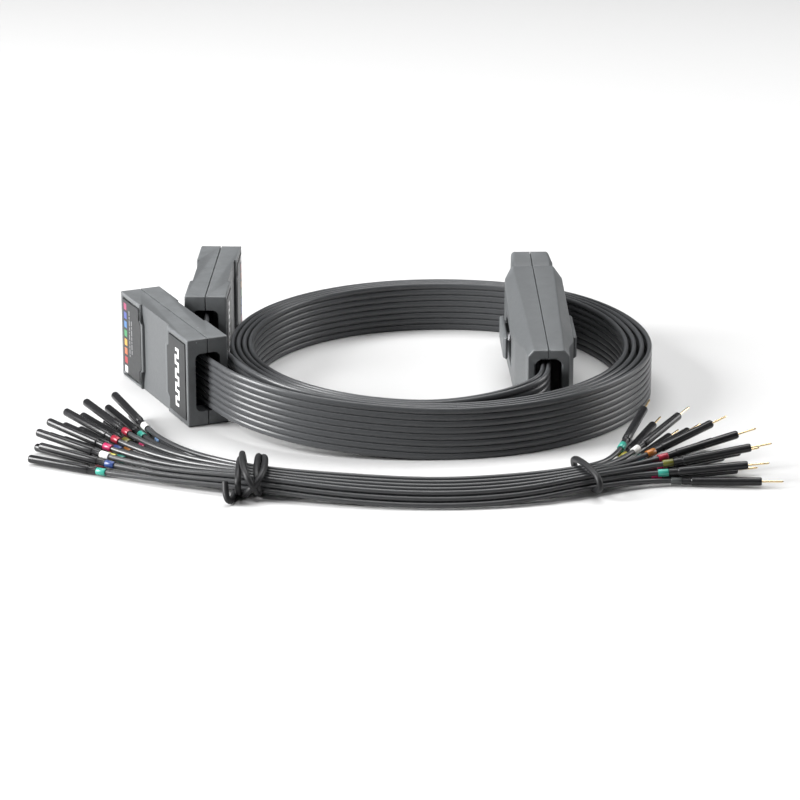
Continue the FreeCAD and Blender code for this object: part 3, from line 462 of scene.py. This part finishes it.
def cord_curve(name, points, finish, radius=0.0, profile=None, fine=6):
    """A smooth cord through its route's control points, round or with a given section."""
    curve = bpy.data.curves.new(name, "CURVE")
    curve.dimensions = "3D"
    spline = curve.splines.new("NURBS")
    spline.points.add(len(points) - 1)
    for control, place in zip(spline.points, points):
        control.co = (*place, 1.0)
    spline.order_u = 3
    spline.use_endpoint_u = True
    spline.resolution_u = fine
    spline.use_smooth = True
    curve.use_fill_caps = True
    if profile:
        curve.twist_mode = "Z_UP"
        curve.bevel_mode = "OBJECT"
        curve.bevel_object = profile
    else:
        curve.bevel_depth = radius
        curve.bevel_resolution = 4
    curve.materials.append(finish_of(finish))
    piece = bpy.data.objects.new(name, curve)
    bpy.context.scene.collection.objects.link(piece)
    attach(piece, "probe_set")
    return piece


# ---- ribbon cables
COIL_CENTRE = (26.55, -13.55)
COIL_POINTS = 24
CORES = 8
CORE_PITCH = 2.0
RIBBON_PITCH = 1.5
CORE_CORNERS = 24
# The innermost layer's radius, how oval the coil is, and how much wider the layers lie at its sides.
COIL_RADIUS, COIL_OVAL = 57.45, 1.4
FAN_MEAN, FAN_SWING = 0.675, 0.275
# Where the coil bulges to clear the plug's nose, over what angle, how far, and how it fades by layer.
BULGE_AT, BULGE_SPREAD, BULGE_OUT, BULGE_FADE = 217.0, 24.0, 3.4, 0.11
TAIL_A = [(-38.3, -55.8, 13.4), (-26.5, -68.2, 12.3), (-11.5, -76.8, 10.9), (7.0, -80.1, 9.3)]
TAIL_B = [(-45.2, -16.0, 13.6), (-39.5, -32.0, 13.1), (-32.0, -51.0, 12.2), (-20.5, -65.6, 11.1),
          (-5.0, -74.4, 10.0), (9.5, -78.1, 8.9)]
TAIL_PLUG_INNER = [(59.9, -54.0, 12.0), (54.5, -63.0, 10.8), (42.5, -69.9, 9.2)]
TAIL_PLUG_OUTER = [(61.5, -54.5, 12.0), (56.0, -64.8, 10.8), (42.8, -71.5, 9.2)]
# A control point stands this much further out than the smooth line that it shapes.
POINT_REACH = 1.0 / (0.75 + 0.25 * math.cos(math.tau / COIL_POINTS))


def coil_point(turned_by, layer):
    """A control point of the wound cable's middle line."""
    fanned = FAN_MEAN - FAN_SWING * math.sin(turned_by)
    pitch = RIBBON_PITCH + fanned * math.sin(turned_by) ** 2
    off_nose = (math.degrees(turned_by) - BULGE_AT + 180.0) % 360.0 - 180.0
    push = BULGE_OUT * math.exp(-(off_nose / BULGE_SPREAD) ** 2) * (1.0 - BULGE_FADE * layer)
    radius = COIL_RADIUS + COIL_OVAL * math.cos(2 * turned_by) + pitch * layer + push
    angle = -math.pi / 2 - turned_by
    reach = radius * POINT_REACH
    return (COIL_CENTRE[0] + reach * math.cos(angle), COIL_CENTRE[1] + reach * math.sin(angle),
            CORES * CORE_PITCH / 2)


def ribbon_route(pod, pod_tail, first_layer, plug_across, plug_tail):
    """The middle line from the clamp in a pod, round the coil, to the clamp in the plug."""
    start = pod @ mm(0.0, CLAMP_END, 0.0) / MM
    end = PLUG @ mm(plug_across * RIBBON_PITCH, CLAMP_END, 0.0) / MM
    steps = 2 * COIL_POINTS
    wound = []
    for step in range(steps, -1, -1):
        turned_by = 2 * math.tau * step / steps
        wound.append(coil_point(turned_by, turned_by / math.pi + first_layer))
    return [tuple(start)] + pod_tail + wound + plug_tail[::-1] + [tuple(end)]


def core_section():
    """The oval section of one core, whose narrow edges meet the next core's."""
    sizes = bpy.context.scene.probe_set_sizes
    curve = bpy.data.curves.new("core section", "CURVE")
    curve.dimensions = "2D"
    spline = curve.splines.new("POLY")
    spline.points.add(CORE_CORNERS - 1)
    for number, corner in enumerate(spline.points):
        angle = math.tau * number / CORE_CORNERS
        corner.co = (math.cos(angle) * sizes.ribbon_thick / 2, math.sin(angle) * sizes.core_wide / 2, 0.0, 1.0)
    spline.use_cyclic_u = True
    return bpy.data.objects.new("core section", curve)


RIBBONS = {
    "ribbon_a": (POD_A, TAIL_A, 1, 0.5, TAIL_PLUG_OUTER, 0.95,
                 ("ribbon_coil", "pod_a_ribbon_tail", "plug_ribbon_tail_outer")),
    "ribbon_b": (POD_B, TAIL_B, 0, -0.5, TAIL_PLUG_INNER, 0.96,
                 ("ribbon_coil", "pod_b_ribbon_tail", "plug_ribbon_tail_inner")),
}


class PROBE_OT_ribbon_cables(bpy.types.Operator):
    """Lay the two flat cables, eight cores each, from the pods round the coil to the plug"""

    bl_idname = "probe_set.ribbon_cables"
    bl_label = "Ribbon Cables"

    def execute(self, context):
        section = core_section()
        for name, (pod, pod_tail, first, across, plug_tail, length, nodes) in RIBBONS.items():
            route = ribbon_route(pod, pod_tail, first, across, plug_tail)
            for core in range(CORES):
                rise = (core - (CORES - 1) / 2) * CORE_PITCH
                points = [mm(x, y, z + rise) for x, y, z in route]
                piece = cord_curve("%s_core_%d" % (name, core + 1), points, "ribbon",
                                   profile=section)
                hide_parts(*nodes)
        return {"FINISHED"}


# ---- flying leads
LEADS = 16
LEFT_TIE = (-27.0, -107.5)
RIGHT_TIE = (70.0, -107.0)
LEFT_REACH = [1.0, -1.5, 0.5, 2.5, -0.5, 1.5, -2.0, 0.0, 2.0, -1.0, 1.0, 3.0, -2.5, 0.5, 1.5, -3.0]
RIGHT_REACH = [2.5, -1.0, 1.0, -2.0, 0.5, 2.0, -0.5, -1.5, 1.5, 3.5, 0.0, 0.5, 2.0, -1.0, 1.0, 0.0]
LEFT_SLEEVES = ["teal", "navy", "white", "red", "yellow", "pink", "teal", "navy", "red", "orange",
                "olive", "red", "pink", "teal", "white", "light_blue"]
RIGHT_SLEEVES = ["grey", "teal", "olive", "pink", "pink", "red", "light_blue", "light_blue", "orange",
                 "white", "teal", "white", "navy", "yellow", "teal", "white"]
# Profiles of the lead ends, as radius and place along the end. A boot and a tube are alike at both.
BOOT_AND_TUBE = [
    (0.0, 0.0), (0.84, 0.0), (1.0, 0.18), (1.0, 2.5), (1.06, 2.8), (1.22, 2.95), (1.25, 3.1), (1.25, 6.0),
    (1.24, 22.35), (1.19, 22.7), (1.06, 22.93), (0.9, 23.0)]
SOCKET_PROFILE = BOOT_AND_TUBE + [(0.52, 23.0), (0.44, 22.85), (0.42, 15.0), (0.0, 15.0)]
PIN_TUBE_PROFILE = BOOT_AND_TUBE + [(0.42, 23.0), (0.38, 22.8), (0.0, 22.8)]
PIN_PROFILE = [(0.0, 20.0), (0.28, 20.0), (0.28, 22.8), (0.32, 22.82), (0.32, 28.6), (0.26, 28.95),
               (0.14, 29.2), (0.0, 29.2)]
SLEEVE_PROFILE = [(0.84, -3.0), (1.03, -3.0), (1.1, -2.88), (1.1, -0.12), (1.03, 0.0), (0.84, 0.0)]


# The fans of the lead ends. Each pair is the first lead's value and how much it changes: over the fan
# for its place round the tie, its distance and its heading, and by level for its slant and height.
LEVELS = 3
LEFT_FAN = {"fan": ((163, -38), (46, 8), (154, -40)), "levels": ((0.01, 0.05), (1.5, 1.9))}
RIGHT_FAN = {"fan": ((10, 58), (25, 0), (-4, 80)), "levels": ((0.02, 0.07), (1.5, 2.3))}
# How far apart neighbouring wires run in the ties and between them.
TIED_PITCH, LOOSE_PITCH = 0.6, 0.95
# The heights of the levels: in the ties, then at three places between them.
TIED_HEIGHT = (2.95, 1.55)
BETWEEN_TIES = [(0.0, -112.5, 1.7), (26.0, -115.0, 1.1), (50.0, -112.5, 1.6)]
LEVEL_STEP = 1.5
# How far a wire runs straight on from its end, and how much it lifts there.
LEFT_STRAIGHT, RIGHT_STRAIGHT = (17, 0.5), (9, 0.3)


def lead_end(tie, spread, number, reach):
    """Where a lead's end begins, in millimetres, and which way it points."""
    share, level = number / (LEADS - 1), number % LEVELS
    placed, away, pointing = (start + change * share for start, change in spread["fan"])
    rise, height = (start + change * level for start, change in spread["levels"])
    placed, pointing, distance = math.radians(placed), math.radians(pointing), away + reach
    return (Vector((tie[0] + distance * math.cos(placed), tie[1] + distance * math.sin(placed), height)),
            Vector((math.cos(pointing), math.sin(pointing), rise)).normalized())


def lead_ends(number):
    """Where a lead's socket and pin ends begin, and which way they point, in millimetres."""
    return (*lead_end(LEFT_TIE, LEFT_FAN, number, LEFT_REACH[number]),
            *lead_end(RIGHT_TIE, RIGHT_FAN, number, RIGHT_REACH[number]))


def lead_route(number):
    """The wire's control points from one end to the other, through both ties, in millimetres."""
    left, left_way, right, right_way = lead_ends(number)
    level, place = number % LEVELS, number - (LEADS - 1) / 2
    tied, loose = place * TIED_PITCH, place * LOOSE_PITCH
    tied_height = TIED_HEIGHT[0] + TIED_HEIGHT[1] * level
    between = [Vector((x, y + loose, z + LEVEL_STEP * level)) for x, y, z in BETWEEN_TIES]
    return [
        left,
        left - left_way * LEFT_STRAIGHT[0] + Vector((0, 0, LEFT_STRAIGHT[1])),
        Vector((LEFT_TIE[0], LEFT_TIE[1] + tied, tied_height)),
        *between,
        Vector((RIGHT_TIE[0], RIGHT_TIE[1] + tied, tied_height)),
        right - right_way * RIGHT_STRAIGHT[0] + Vector((0, 0, RIGHT_STRAIGHT[1])),
        right,
    ]


class PROBE_OT_flying_leads(bpy.types.Operator):
    """Lay the sixteen flying leads with their sockets, pins and marker sleeves"""

    bl_idname = "probe_set.flying_leads"
    bl_label = "Flying Leads"

    def execute(self, context):
        radius = context.scene.probe_set_sizes.wire_radius
        for number in range(LEADS):
            name = "lead_%02d" % (number + 1)
            route = lead_route(number)
            left, left_way, right, right_way = lead_ends(number)
            wire = cord_curve(name + "_wire", [point * MM for point in route], "wire",
                              radius=radius, fine=10)
            left_place = along(left * MM, left_way)
            right_place = along(right * MM, right_way)
            left_sleeve_place = along(left * MM, route[0] - route[1])
            right_sleeve_place = along(right * MM, route[-1] - route[-2])
            ends = [
                turned(name + "_socket", SOCKET_PROFILE, left_place, "tube"),
                turned(name + "_pin_tube", PIN_TUBE_PROFILE, right_place, "tube"),
                turned(name + "_pin", PIN_PROFILE, right_place, "pin", steps=16),
                turned(name + "_left_sleeve", SLEEVE_PROFILE, left_sleeve_place,
                       "sleeve " + LEFT_SLEEVES[number], closed=True),
                turned(name + "_right_sleeve", SLEEVE_PROFILE, right_sleeve_place,
                       "sleeve " + RIGHT_SLEEVES[number], closed=True),
            ]
            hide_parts("lead_wire_%02d" % (number + 1))
            for piece, node in zip(ends, ("lead_sockets", "lead_pin_housings", "lead_pin_tips",
                                          "lead_marker_sleeves", "lead_marker_sleeves")):
                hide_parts(node)
        return {"FINISHED"}


# ---- twist ties
# A strand's control points: how far along the bundle each is from the tie, on which corner of the
# bundle it lies, and how far it stands off to pass over another stretch.
CORNERS = {"top front": (-1, 1), "low front": (-1, -1), "low back": (1, -1), "top back": (1, 1)}
# The box that a strand's corners form round the bundle: its middle's shift and height, and its half sizes.
BUNDLE_SHIFT, BUNDLE_MIDDLE, BUNDLE_REACH, BUNDLE_RISE = 1.7, 4.4, 9.6, 3.4
LEFT_STRAND = [
    (-4.4, "low front", 0.6), (-3.4, "low back", 0.0), (-3.0, "top back", 0.0), (-3.1, "top front", 0.3),
    (-3.0, "low front", 0.0), (-0.6, "low back", 0.0), (4.2, "top back", 0.5), (4.6, "top front", 1.0),
    (-2.2, "low front", 1.6), (-1.6, "low back", 0.0), (-2.8, "top back", 1.4), (-1.4, "top front", 2.2),
    (3.4, "low front", 0.9), (2.6, "low back", 0.0), (2.2, "top back", 0.8), (2.0, "top front", 0.6),
    (3.4, "low front", 0.0), (5.0, "low back", 0.0),
]
RIGHT_STRAND = [
    (-2.2, "low back", 0.4), (-5.8, "top back", 0.3), (2.6, "top front", 0.7), (3.0, "low front", 0.2),
    (-2.6, "low back", 0.0),
]
# The stated lengths of the strands, in metres.
LEFT_TIE_LENGTH, RIGHT_TIE_LENGTH = 0.218, 0.046
# The left strand's free end, from its tie: it curls up in front of it.
LEFT_FREE_END = [(-6.6, -8.4, 6.2), (-6.5, -10.3, 3.6), (-5.6, -11.3, 1.3)]


def wound_strand(tie, rows):
    """Control points of a strand wound round the bundle at a tie."""
    points = []
    for x, corner, off in rows:
        side, level = CORNERS[corner]
        points.append(mm(tie[0] + x, tie[1] + BUNDLE_SHIFT + side * (BUNDLE_REACH + off),
                         BUNDLE_MIDDLE + level * BUNDLE_RISE + max(0, level) * off))
    return points


class PROBE_OT_twist_ties(bpy.types.Operator):
    """Wind the rubber ties round the bundle of leads"""

    bl_idname = "probe_set.twist_ties"
    bl_label = "Twist Ties"

    def execute(self, context):
        radius = context.scene.probe_set_sizes.tie_radius
        free_end = [mm(LEFT_TIE[0] + x, LEFT_TIE[1] + y, z) for x, y, z in LEFT_FREE_END]
        left = free_end + wound_strand(LEFT_TIE, LEFT_STRAND)
        right = wound_strand(RIGHT_TIE, RIGHT_STRAND)
        for name, points, length, node in (("left_tie_strand", left, LEFT_TIE_LENGTH, "twist_tie_left"),
                                           ("right_tie_strand", right, RIGHT_TIE_LENGTH, "twist_tie_right")):
            piece = cord_curve(name, points, "tie", radius=radius, fine=12)
            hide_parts(node)
        return {"FINISHED"}


# ---- housings
# The plug's outside at each station: how far from the cable end, half width and depth of the bevel.
WIDEST_AT = 34.0
PLUG_STATIONS = [(0.0, 6.35, 1.9), (8.0, 6.7, 2.3), (17.0, 8.9, 3.6), (WIDEST_AT, 9.4, 5.0), (68.0, 9.2, 2.6)]
SHOULDER_HALF_TALL = 14.45
# The step and the nose: how far along, half width, half width of the roof, half height, depth of the bevel.
NOSE = [(PLUG_STEP, 7.3, 6.3, SHOULDER_HALF_TALL, 1.0), (PLUG_STEP, 6.6, 5.6, 13.9, 1.0),
        (77.5, 6.75, 5.75, NOSE_HALF_TALL, 1.0), (86.0, 6.2, 5.2, NOSE_HALF_TALL, 1.0)]
MOUTH_ROOF, SHOULDER_ROOF = 4.7, 6.6
# The finger recess and the window in it: where they begin and end, how deep they go, half their height.
RECESS_FROM, WINDOW_FROM, WINDOW_TO = 31.0, 54.15, 57.85
RECESS_FLOOR, WINDOW_FLOOR, RECESS_HALF = 8.0, 6.15, 4.5
# The screw seats: their places, half the side of the flat round each, radius, depth, points round one.
SCREWS_AT, SEAT_ROOM, SEAT_RADIUS, SEAT_DEEP, SEAT_POINTS = (22.0, 63.0), 2.6, 1.95, 1.45, 32
# The inside, from the cable mouth to the nose: how far along, half width and half height.
PLUG_INSIDE = [(0.0, 4.0, 9.2), (10.0, 4.0, 9.2), (10.0, 5.4, 10.2), (72.0, 5.4, 10.2), (72.0, 4.7, 10.2),
               (76.0, 4.7, 10.2), (76.0, 4.7, 13.0), (86.0, 4.7, 13.0)]


def plug_side(y):
    """Half width and bevel depth of the plug at a place between two stations."""
    for (low, wide, deep), (high, next_wide, next_deep) in zip(PLUG_STATIONS, PLUG_STATIONS[1:]):
        if y <= high:
            part = (y - low) / (high - low)
            return wide + (next_wide - wide) * part, deep + (next_deep - deep) * part


def plug_loop(y, half_wide, roof, half_tall, bevel):
    """One section of the outside, from the seam over the roof and down the side to the seam."""
    low_side = half_tall - bevel
    return [(SEAM, y, half_tall), (roof, y, half_tall), (half_wide, y, low_side), (half_wide, y, RECESS_HALF),
            (half_wide, y, 0.0), (half_wide, y, -RECESS_HALF), (half_wide, y, -low_side),
            (roof, y, -half_tall), (SEAM, y, -half_tall)]


def body_loop(y):
    """The section of the outside at a place between the mouth and the shoulder."""
    half_wide, bevel = plug_side(y)
    part = y / PLUG_STATIONS[-1][0]
    return plug_loop(y, half_wide, MOUTH_ROOF + (SHOULDER_ROOF - MOUTH_ROOF) * part,
                     MOUTH_HALF_TALL + (SHOULDER_HALF_TALL - MOUTH_HALF_TALL) * part, bevel)


def inner_loop(y, half_wide, half_tall):
    """One section of the inside, with rounded corners."""
    arc = [math.radians(90.0 - 22.5 * step) for step in range(5)]
    upper = [(half_wide + MOUTH_CORNER * (math.cos(turn) - 1), y, half_tall + MOUTH_CORNER * (math.sin(turn) - 1))
             for turn in arc]
    return ([(INNER_SEAM, y, half_tall)] + upper + [(x, y, -z) for x, y, z in reversed(upper)]
            + [(INNER_SEAM, y, -half_tall)])


def plug_half(work, side, has_screws):
    """One clean half shell: faceted skin, cable mouth, inside, nose opening, latch recess and screw seats."""
    def vertices(points):
        return [work.verts.new((x * side * MM, y * MM, z * MM)) for x, y, z in points]

    seats = [y + shift for y in SCREWS_AT for shift in (-SEAT_ROOM, 0.0, SEAT_ROOM)]
    rows = sorted([station[0] for station in PLUG_STATIONS] + seats + [RECESS_FROM, WINDOW_FROM, WINDOW_TO])
    skin = [vertices(body_loop(y)) for y in rows] + [vertices(plug_loop(*row)) for row in NOSE]
    for number, (near, far) in enumerate(zip(skin, skin[1:])):
        low = rows[number] if number < len(rows) else PLUG_STEP
        for column in range(len(near) - 1):
            flank = column in (3, 4)
            recessed = flank and RECESS_FROM <= low < WINDOW_TO
            seated = flank and has_screws and any(abs(low + SEAT_ROOM / 2 - y) < SEAT_ROOM for y in SCREWS_AT)
            if not recessed and not seated:
                work.faces.new([near[column], near[column + 1], far[column + 1], far[column]])
    by_row = dict(zip(rows, skin))
    if has_screws:
        for y in SCREWS_AT:
            screw_seat(work, by_row, side, y)
    recess(work, by_row, vertices)
    inside = [vertices(inner_loop(*row)) for row in PLUG_INSIDE]
    for near, far in zip(inside, inside[1:]):
        for column in range(len(near) - 1):
            work.faces.new([near[column], near[column + 1], far[column + 1], far[column]])
    for outer, inner in ((skin[0], inside[0]), (skin[-1], inside[-1])):
        work.faces.new([outer[0], outer[1], inner[1], inner[0]])
        work.faces.new(outer[1:3] + inner[5:0:-1])
        work.faces.new(outer[2:7] + [inner[6], inner[5]])
        work.faces.new(outer[6:8] + inner[10:5:-1])
        work.faces.new([outer[7], outer[8], inner[11], inner[10]])
    for end in (0, -1):
        work.faces.new([loop[end] for loop in skin] + [loop[end] for loop in reversed(inside)])


def screw_seat(work, by_row, side, y):
    """A round sunk seat for a screw head in the flat of a side."""
    near, middle, far = (by_row[y + shift] for shift in (-SEAT_ROOM, 0.0, SEAT_ROOM))
    around = [far[4], far[3], middle[3], near[3], near[4], near[5], middle[5], far[5], far[4]]
    rim, floor = [], []
    for number in range(SEAT_POINTS):
        turn = math.tau * number / SEAT_POINTS
        at, up = y + SEAT_RADIUS * math.cos(turn), SEAT_RADIUS * math.sin(turn)
        wide = plug_side(at)[0]
        rim.append(work.verts.new((wide * side * MM, at * MM, up * MM)))
        floor.append(work.verts.new(((wide - SEAT_DEEP) * side * MM, at * MM, up * MM)))
    quarter_points = SEAT_POINTS // 4
    for quarter in range(4):
        arc = [rim[(quarter * quarter_points + number) % SEAT_POINTS] for number in range(quarter_points, -1, -1)]
        work.faces.new(around[quarter * 2:quarter * 2 + 3] + arc)
    for number in range(SEAT_POINTS):
        after = (number + 1) % SEAT_POINTS
        work.faces.new([rim[number], rim[after], floor[after], floor[number]])
    work.faces.new(floor)


def recess(work, by_row, vertices):
    """The finger recess under a latch arm, and the deeper window round its pivot."""
    spine = [RECESS_FROM, WIDEST_AT, WINDOW_FROM, WINDOW_TO]
    plan = [(RECESS_FLOOR, RECESS_FROM), (RECESS_FLOOR, WINDOW_FROM), (WINDOW_FLOOR, WINDOW_FROM),
            (WINDOW_FLOOR, WINDOW_TO)]
    top = vertices([(x, y, RECESS_HALF) for x, y in plan])
    low = vertices([(x, y, -RECESS_HALF) for x, y in plan])
    for column, floor in ((3, top), (5, low)):
        work.faces.new([by_row[y][column] for y in spine] + floor[::-1])
    for index in range(3):
        work.faces.new([top[index], top[index + 1], low[index + 1], low[index]])
    for y, index in ((RECESS_FROM, 0), (WINDOW_TO, 3)):
        work.faces.new(by_row[y][3:6] + [low[index], top[index]])


class PROBE_OT_plug(bpy.types.Operator):
    """Build the two faceted halves of the oscilloscope plug"""

    bl_idname = "probe_set.plug"
    bl_label = "Plug Housing"

    def execute(self, context):
        radius = context.scene.probe_set_sizes.edge_radius
        for name, side in (("left", -1), ("right", 1)):
            work = bmesh.new()
            plug_half(work, side, name == "right")
            bmesh.ops.delete(work, geom=[vert for vert in work.verts if not vert.link_faces], context="VERTS")
            bmesh.ops.recalc_face_normals(work, faces=work.faces)
            round_shell(work, Matrix(), PLUG_LEAST_EDGE, radius)
            bmesh.ops.transform(work, matrix=PLUG, verts=work.verts)
            piece = evenly_shaded(piece_from(work, "plug_housing_" + name, "housing"))
            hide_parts("plug_shell_" + name)
        return {"FINISHED"}


class PROBE_OT_latches(bpy.types.Operator):
    """Round and finish the squeeze latches, which turn on their pins"""

    bl_idname = "probe_set.latches"
    bl_label = "Squeeze Latches"

    def execute(self, context):
        radius = context.scene.probe_set_sizes.lever_edge_radius
        for side in ("left", "right"):
            softened("latch_lever_" + side, "squeeze_latch_" + side, radius, "latch_" + side, LEVER_LEAST_EDGE)
        return {"FINISHED"}


class PROBE_OT_pods(bpy.types.Operator):
    """Round and finish the shells of both probe pods"""

    bl_idname = "probe_set.pods"
    bl_label = "Probe Pods"

    def execute(self, context):
        radius = context.scene.probe_set_sizes.edge_radius
        for pod, place in PODS.items():
            for half in ("front", "back"):
                softened("%s_%s_shell" % (pod, half), "%s_%s_housing" % (pod, half), radius, place=place)
        return {"FINISHED"}


def block(low, high, bottom, top):
    """The outline of a rectangle."""
    return [(low, bottom), (high, bottom), (high, top), (low, top)]


def stroke(points, width):
    """The outline of a right angled line of even width."""
    half = width / 2
    left, right = [], []
    ways = [(Vector(b) - Vector(a)).normalized() for a, b in zip(points, points[1:])]
    for index, point in enumerate(points):
        near = ways[max(0, index - 1)]
        far = ways[min(index, len(ways) - 1)]
        shift = Vector((-near.y, near.x))
        if index not in (0, len(points) - 1):
            shift += Vector((-far.y, far.x))
        left.append(tuple(Vector(point) + shift * half))
        right.append(tuple(Vector(point) - shift * half))
    return left + right[::-1]


# Places on the label plates: along the pod for spans and columns, up it for tops and heights.
CHANNEL_SPAN, CHANNEL_TOP, CHANNEL_PITCH, CHANNEL_TALL = (51.7, 54.0), 10.9, 2.93, 2.1
DASH_COLUMNS = ((49.4, 9.2, 10), (47.5, 6.4, 7))
DASH_HALF_WIDE, DASH_GAP = 0.33, 0.35
PULSE_LOW, PULSE_HIGH, PULSE_TOP, PULSE_STEP, PULSES, PULSE_WIDE = 9.6, 7.4, 8.6, 2.2, 4, 0.95
DASHES = [1.5, 0.8, 1.9, 1.1, 0.6, 1.7, 1.2, 0.9, 1.4, 0.7]


class PROBE_OT_labels(bpy.types.Operator):
    """Print the channel squares, fine rules and a plain pulse sign on the pods' label plates"""

    bl_idname = "probe_set.labels"
    bl_label = "Labels"

    def execute(self, context):
        pulse = [(PULSE_LOW, PULSE_TOP)]
        for number in range(PULSES):
            high = PULSE_TOP - 2 * PULSE_STEP * number
            pulse += [(PULSE_HIGH, high), (PULSE_HIGH, high - PULSE_STEP), (PULSE_LOW, high - PULSE_STEP),
                      (PULSE_LOW, high - 2 * PULSE_STEP)]
        pulse.append((PULSE_HIGH, pulse[-1][1]))
        for pod, place in PODS.items():
            for number, ink in enumerate(CHANNEL_INKS):
                top = CHANNEL_TOP - CHANNEL_PITCH * number
                square = block(*CHANNEL_SPAN, top - CHANNEL_TALL, top)
                printed("%s_channel_%d" % (pod, number), [square], place, "channel " + ink)
            marks = []
            for column, top, count in DASH_COLUMNS:
                for dash in DASHES[:count]:
                    marks.append(block(column - DASH_HALF_WIDE, column + DASH_HALF_WIDE, top - dash, top))
                    top -= dash + DASH_GAP
            printed(pod + "_fine_marks", marks, place, "faint_print")
            printed(pod + "_pulse_sign", [stroke(pulse, PULSE_WIDE)], place, "print")
        return {"FINISHED"}


INNER_FINISHES = {
    "pin": ("pod_a_header_pins", "pod_b_header_pins", "plug_contacts"),
    "steel": ("plug_screws", "pod_a_screws", "pod_b_screws", "latch_pivot_pins", "latch_spring_left",
              "latch_spring_right"),
    "board": ("plug_circuit_board", "pod_a_circuit_board", "pod_b_circuit_board"),
    "chip": ("pod_a_buffer_chips", "pod_b_buffer_chips"),
    "insulator": ("plug_contact_block", "pod_a_header_body", "pod_b_header_body", "plug_cable_clamp",
                  "pod_a_cable_clamp", "pod_b_cable_clamp"),
    "plate": ("pod_a_front_plate", "pod_a_channel_plate", "pod_b_front_plate", "pod_b_channel_plate"),
}


class PROBE_OT_inner_parts(bpy.types.Operator):
    """Give the plates, screws, headers, boards and springs their own finishes"""

    bl_idname = "probe_set.inner_parts"
    bl_label = "Plates and Inner Parts"

    def execute(self, context):
        for finish, nodes in INNER_FINISHES.items():
            for node in nodes:
                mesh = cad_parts[node].data
                mesh.materials.clear()
                mesh.materials.append(finish_of(finish))
        return {"FINISHED"}


# ---- stage
LENS, SENSOR, CAMERA_PLACE, CAMERA_DOWN = 151.33, 36.0, (0.016, -1.0115, 0.33486), 18.753
FLOOR_REACH, SKY_STRENGTH = 6.0, 0.05
LIGHTS = [
    # name, place, size, power, aimed at
    ("top softbox", (0.05, 0.3, 0.95), (1.0, 0.6), 12.0, (0.0, 0.0, 0.0)),
    ("left softbox", (-1.05, -0.25, 0.5), (0.5, 0.7), 35.0, (0.0, -0.02, 0.0)),
    ("front strip", (-0.1, -0.5, 1.0), (0.9, 0.08), 2.2, (0.0, -0.05, 0.0)),
    ("right softbox", (0.95, 0.25, 0.35), (0.5, 0.5), 5.0, (0.0, 0.0, 0.0)),
]


class PROBE_OT_stage(bpy.types.Operator):
    """Set up the camera, the pale floor and the soft studio lights"""

    bl_idname = "probe_set.stage"
    bl_label = "Stage"

    def execute(self, context):
        scene = context.scene
        camera = bpy.data.objects.new("camera", bpy.data.cameras.new("camera"))
        camera.data.lens = LENS
        camera.data.sensor_width = SENSOR
        camera.data.clip_end = 20.0
        camera.location = CAMERA_PLACE
        camera.rotation_euler = (math.radians(90.0 - CAMERA_DOWN), 0.0, 0.0)
        scene.collection.objects.link(camera)
        scene.camera = camera

        work = bmesh.new()
        bmesh.ops.create_grid(work, x_segments=2, y_segments=2, size=FLOOR_REACH)
        mesh = bpy.data.meshes.new("floor")
        work.to_mesh(mesh)
        work.free()
        floor = bpy.data.objects.new("floor", mesh)
        mesh.materials.append(moulded("pale floor", scene.probe_set_colours.floor, 0.6, 0.01, 0.02,
                                      (900.0, 0.05)))
        scene.collection.objects.link(floor)

        for name, place, size, power, target in LIGHTS:
            lamp = bpy.data.lights.new(name, "AREA")
            lamp.shape = "RECTANGLE"
            lamp.size, lamp.size_y = size
            lamp.energy = power
            item = bpy.data.objects.new(name, lamp)
            item.location = place
            item.rotation_euler = (Vector(target) - Vector(place)).to_track_quat("-Z", "Y").to_euler()
            scene.collection.objects.link(item)
        world = scene.world or bpy.data.worlds.new("studio")
        scene.world = world
        world.use_nodes = True
        sky = world.node_tree.nodes["Background"].inputs
        sky["Color"].default_value = (1.0, 1.0, 1.0, 1.0)
        sky["Strength"].default_value = SKY_STRENGTH
        scene.view_settings.view_transform = "Standard"
        return {"FINISHED"}


class PROBE_PT_panel(bpy.types.Panel):
    """Lists the steps that build the probe set"""

    bl_idname = "PROBE_PT_panel"
    bl_label = "Logic Probe Set"
    bl_space_type = "VIEW_3D"
    bl_region_type = "UI"
    bl_category = "Probe Set"

    def draw(self, context):
        column = self.layout.column(align=True)
        for operator in OPERATORS:
            column.operator(operator.bl_idname)
        for group in (context.scene.probe_set_sizes, context.scene.probe_set_colours):
            for name in group.__annotations__:
                column.prop(group, name)


OPERATORS = (
    PROBE_OT_stage, PROBE_OT_ribbon_cables, PROBE_OT_flying_leads, PROBE_OT_twist_ties, PROBE_OT_plug,
    PROBE_OT_latches, PROBE_OT_pods, PROBE_OT_labels, PROBE_OT_inner_parts,
)
CLASSES = (ProbeSetSizes, ProbeSetColours, *OPERATORS, PROBE_PT_panel)


def register():
    for item in CLASSES:
        bpy.utils.register_class(item)
    bpy.types.Scene.probe_set_sizes = bpy.props.PointerProperty(type=ProbeSetSizes)
    bpy.types.Scene.probe_set_colours = bpy.props.PointerProperty(type=ProbeSetColours)


def unregister():
    del bpy.types.Scene.probe_set_colours
    del bpy.types.Scene.probe_set_sizes
    for item in reversed(CLASSES):
        bpy.utils.unregister_class(item)


def main():
    register()
    for operator in OPERATORS:
        group, name = operator.bl_idname.split(".")
        getattr(getattr(bpy.ops, group), name)()


if __name__ == "__main__":
    main()
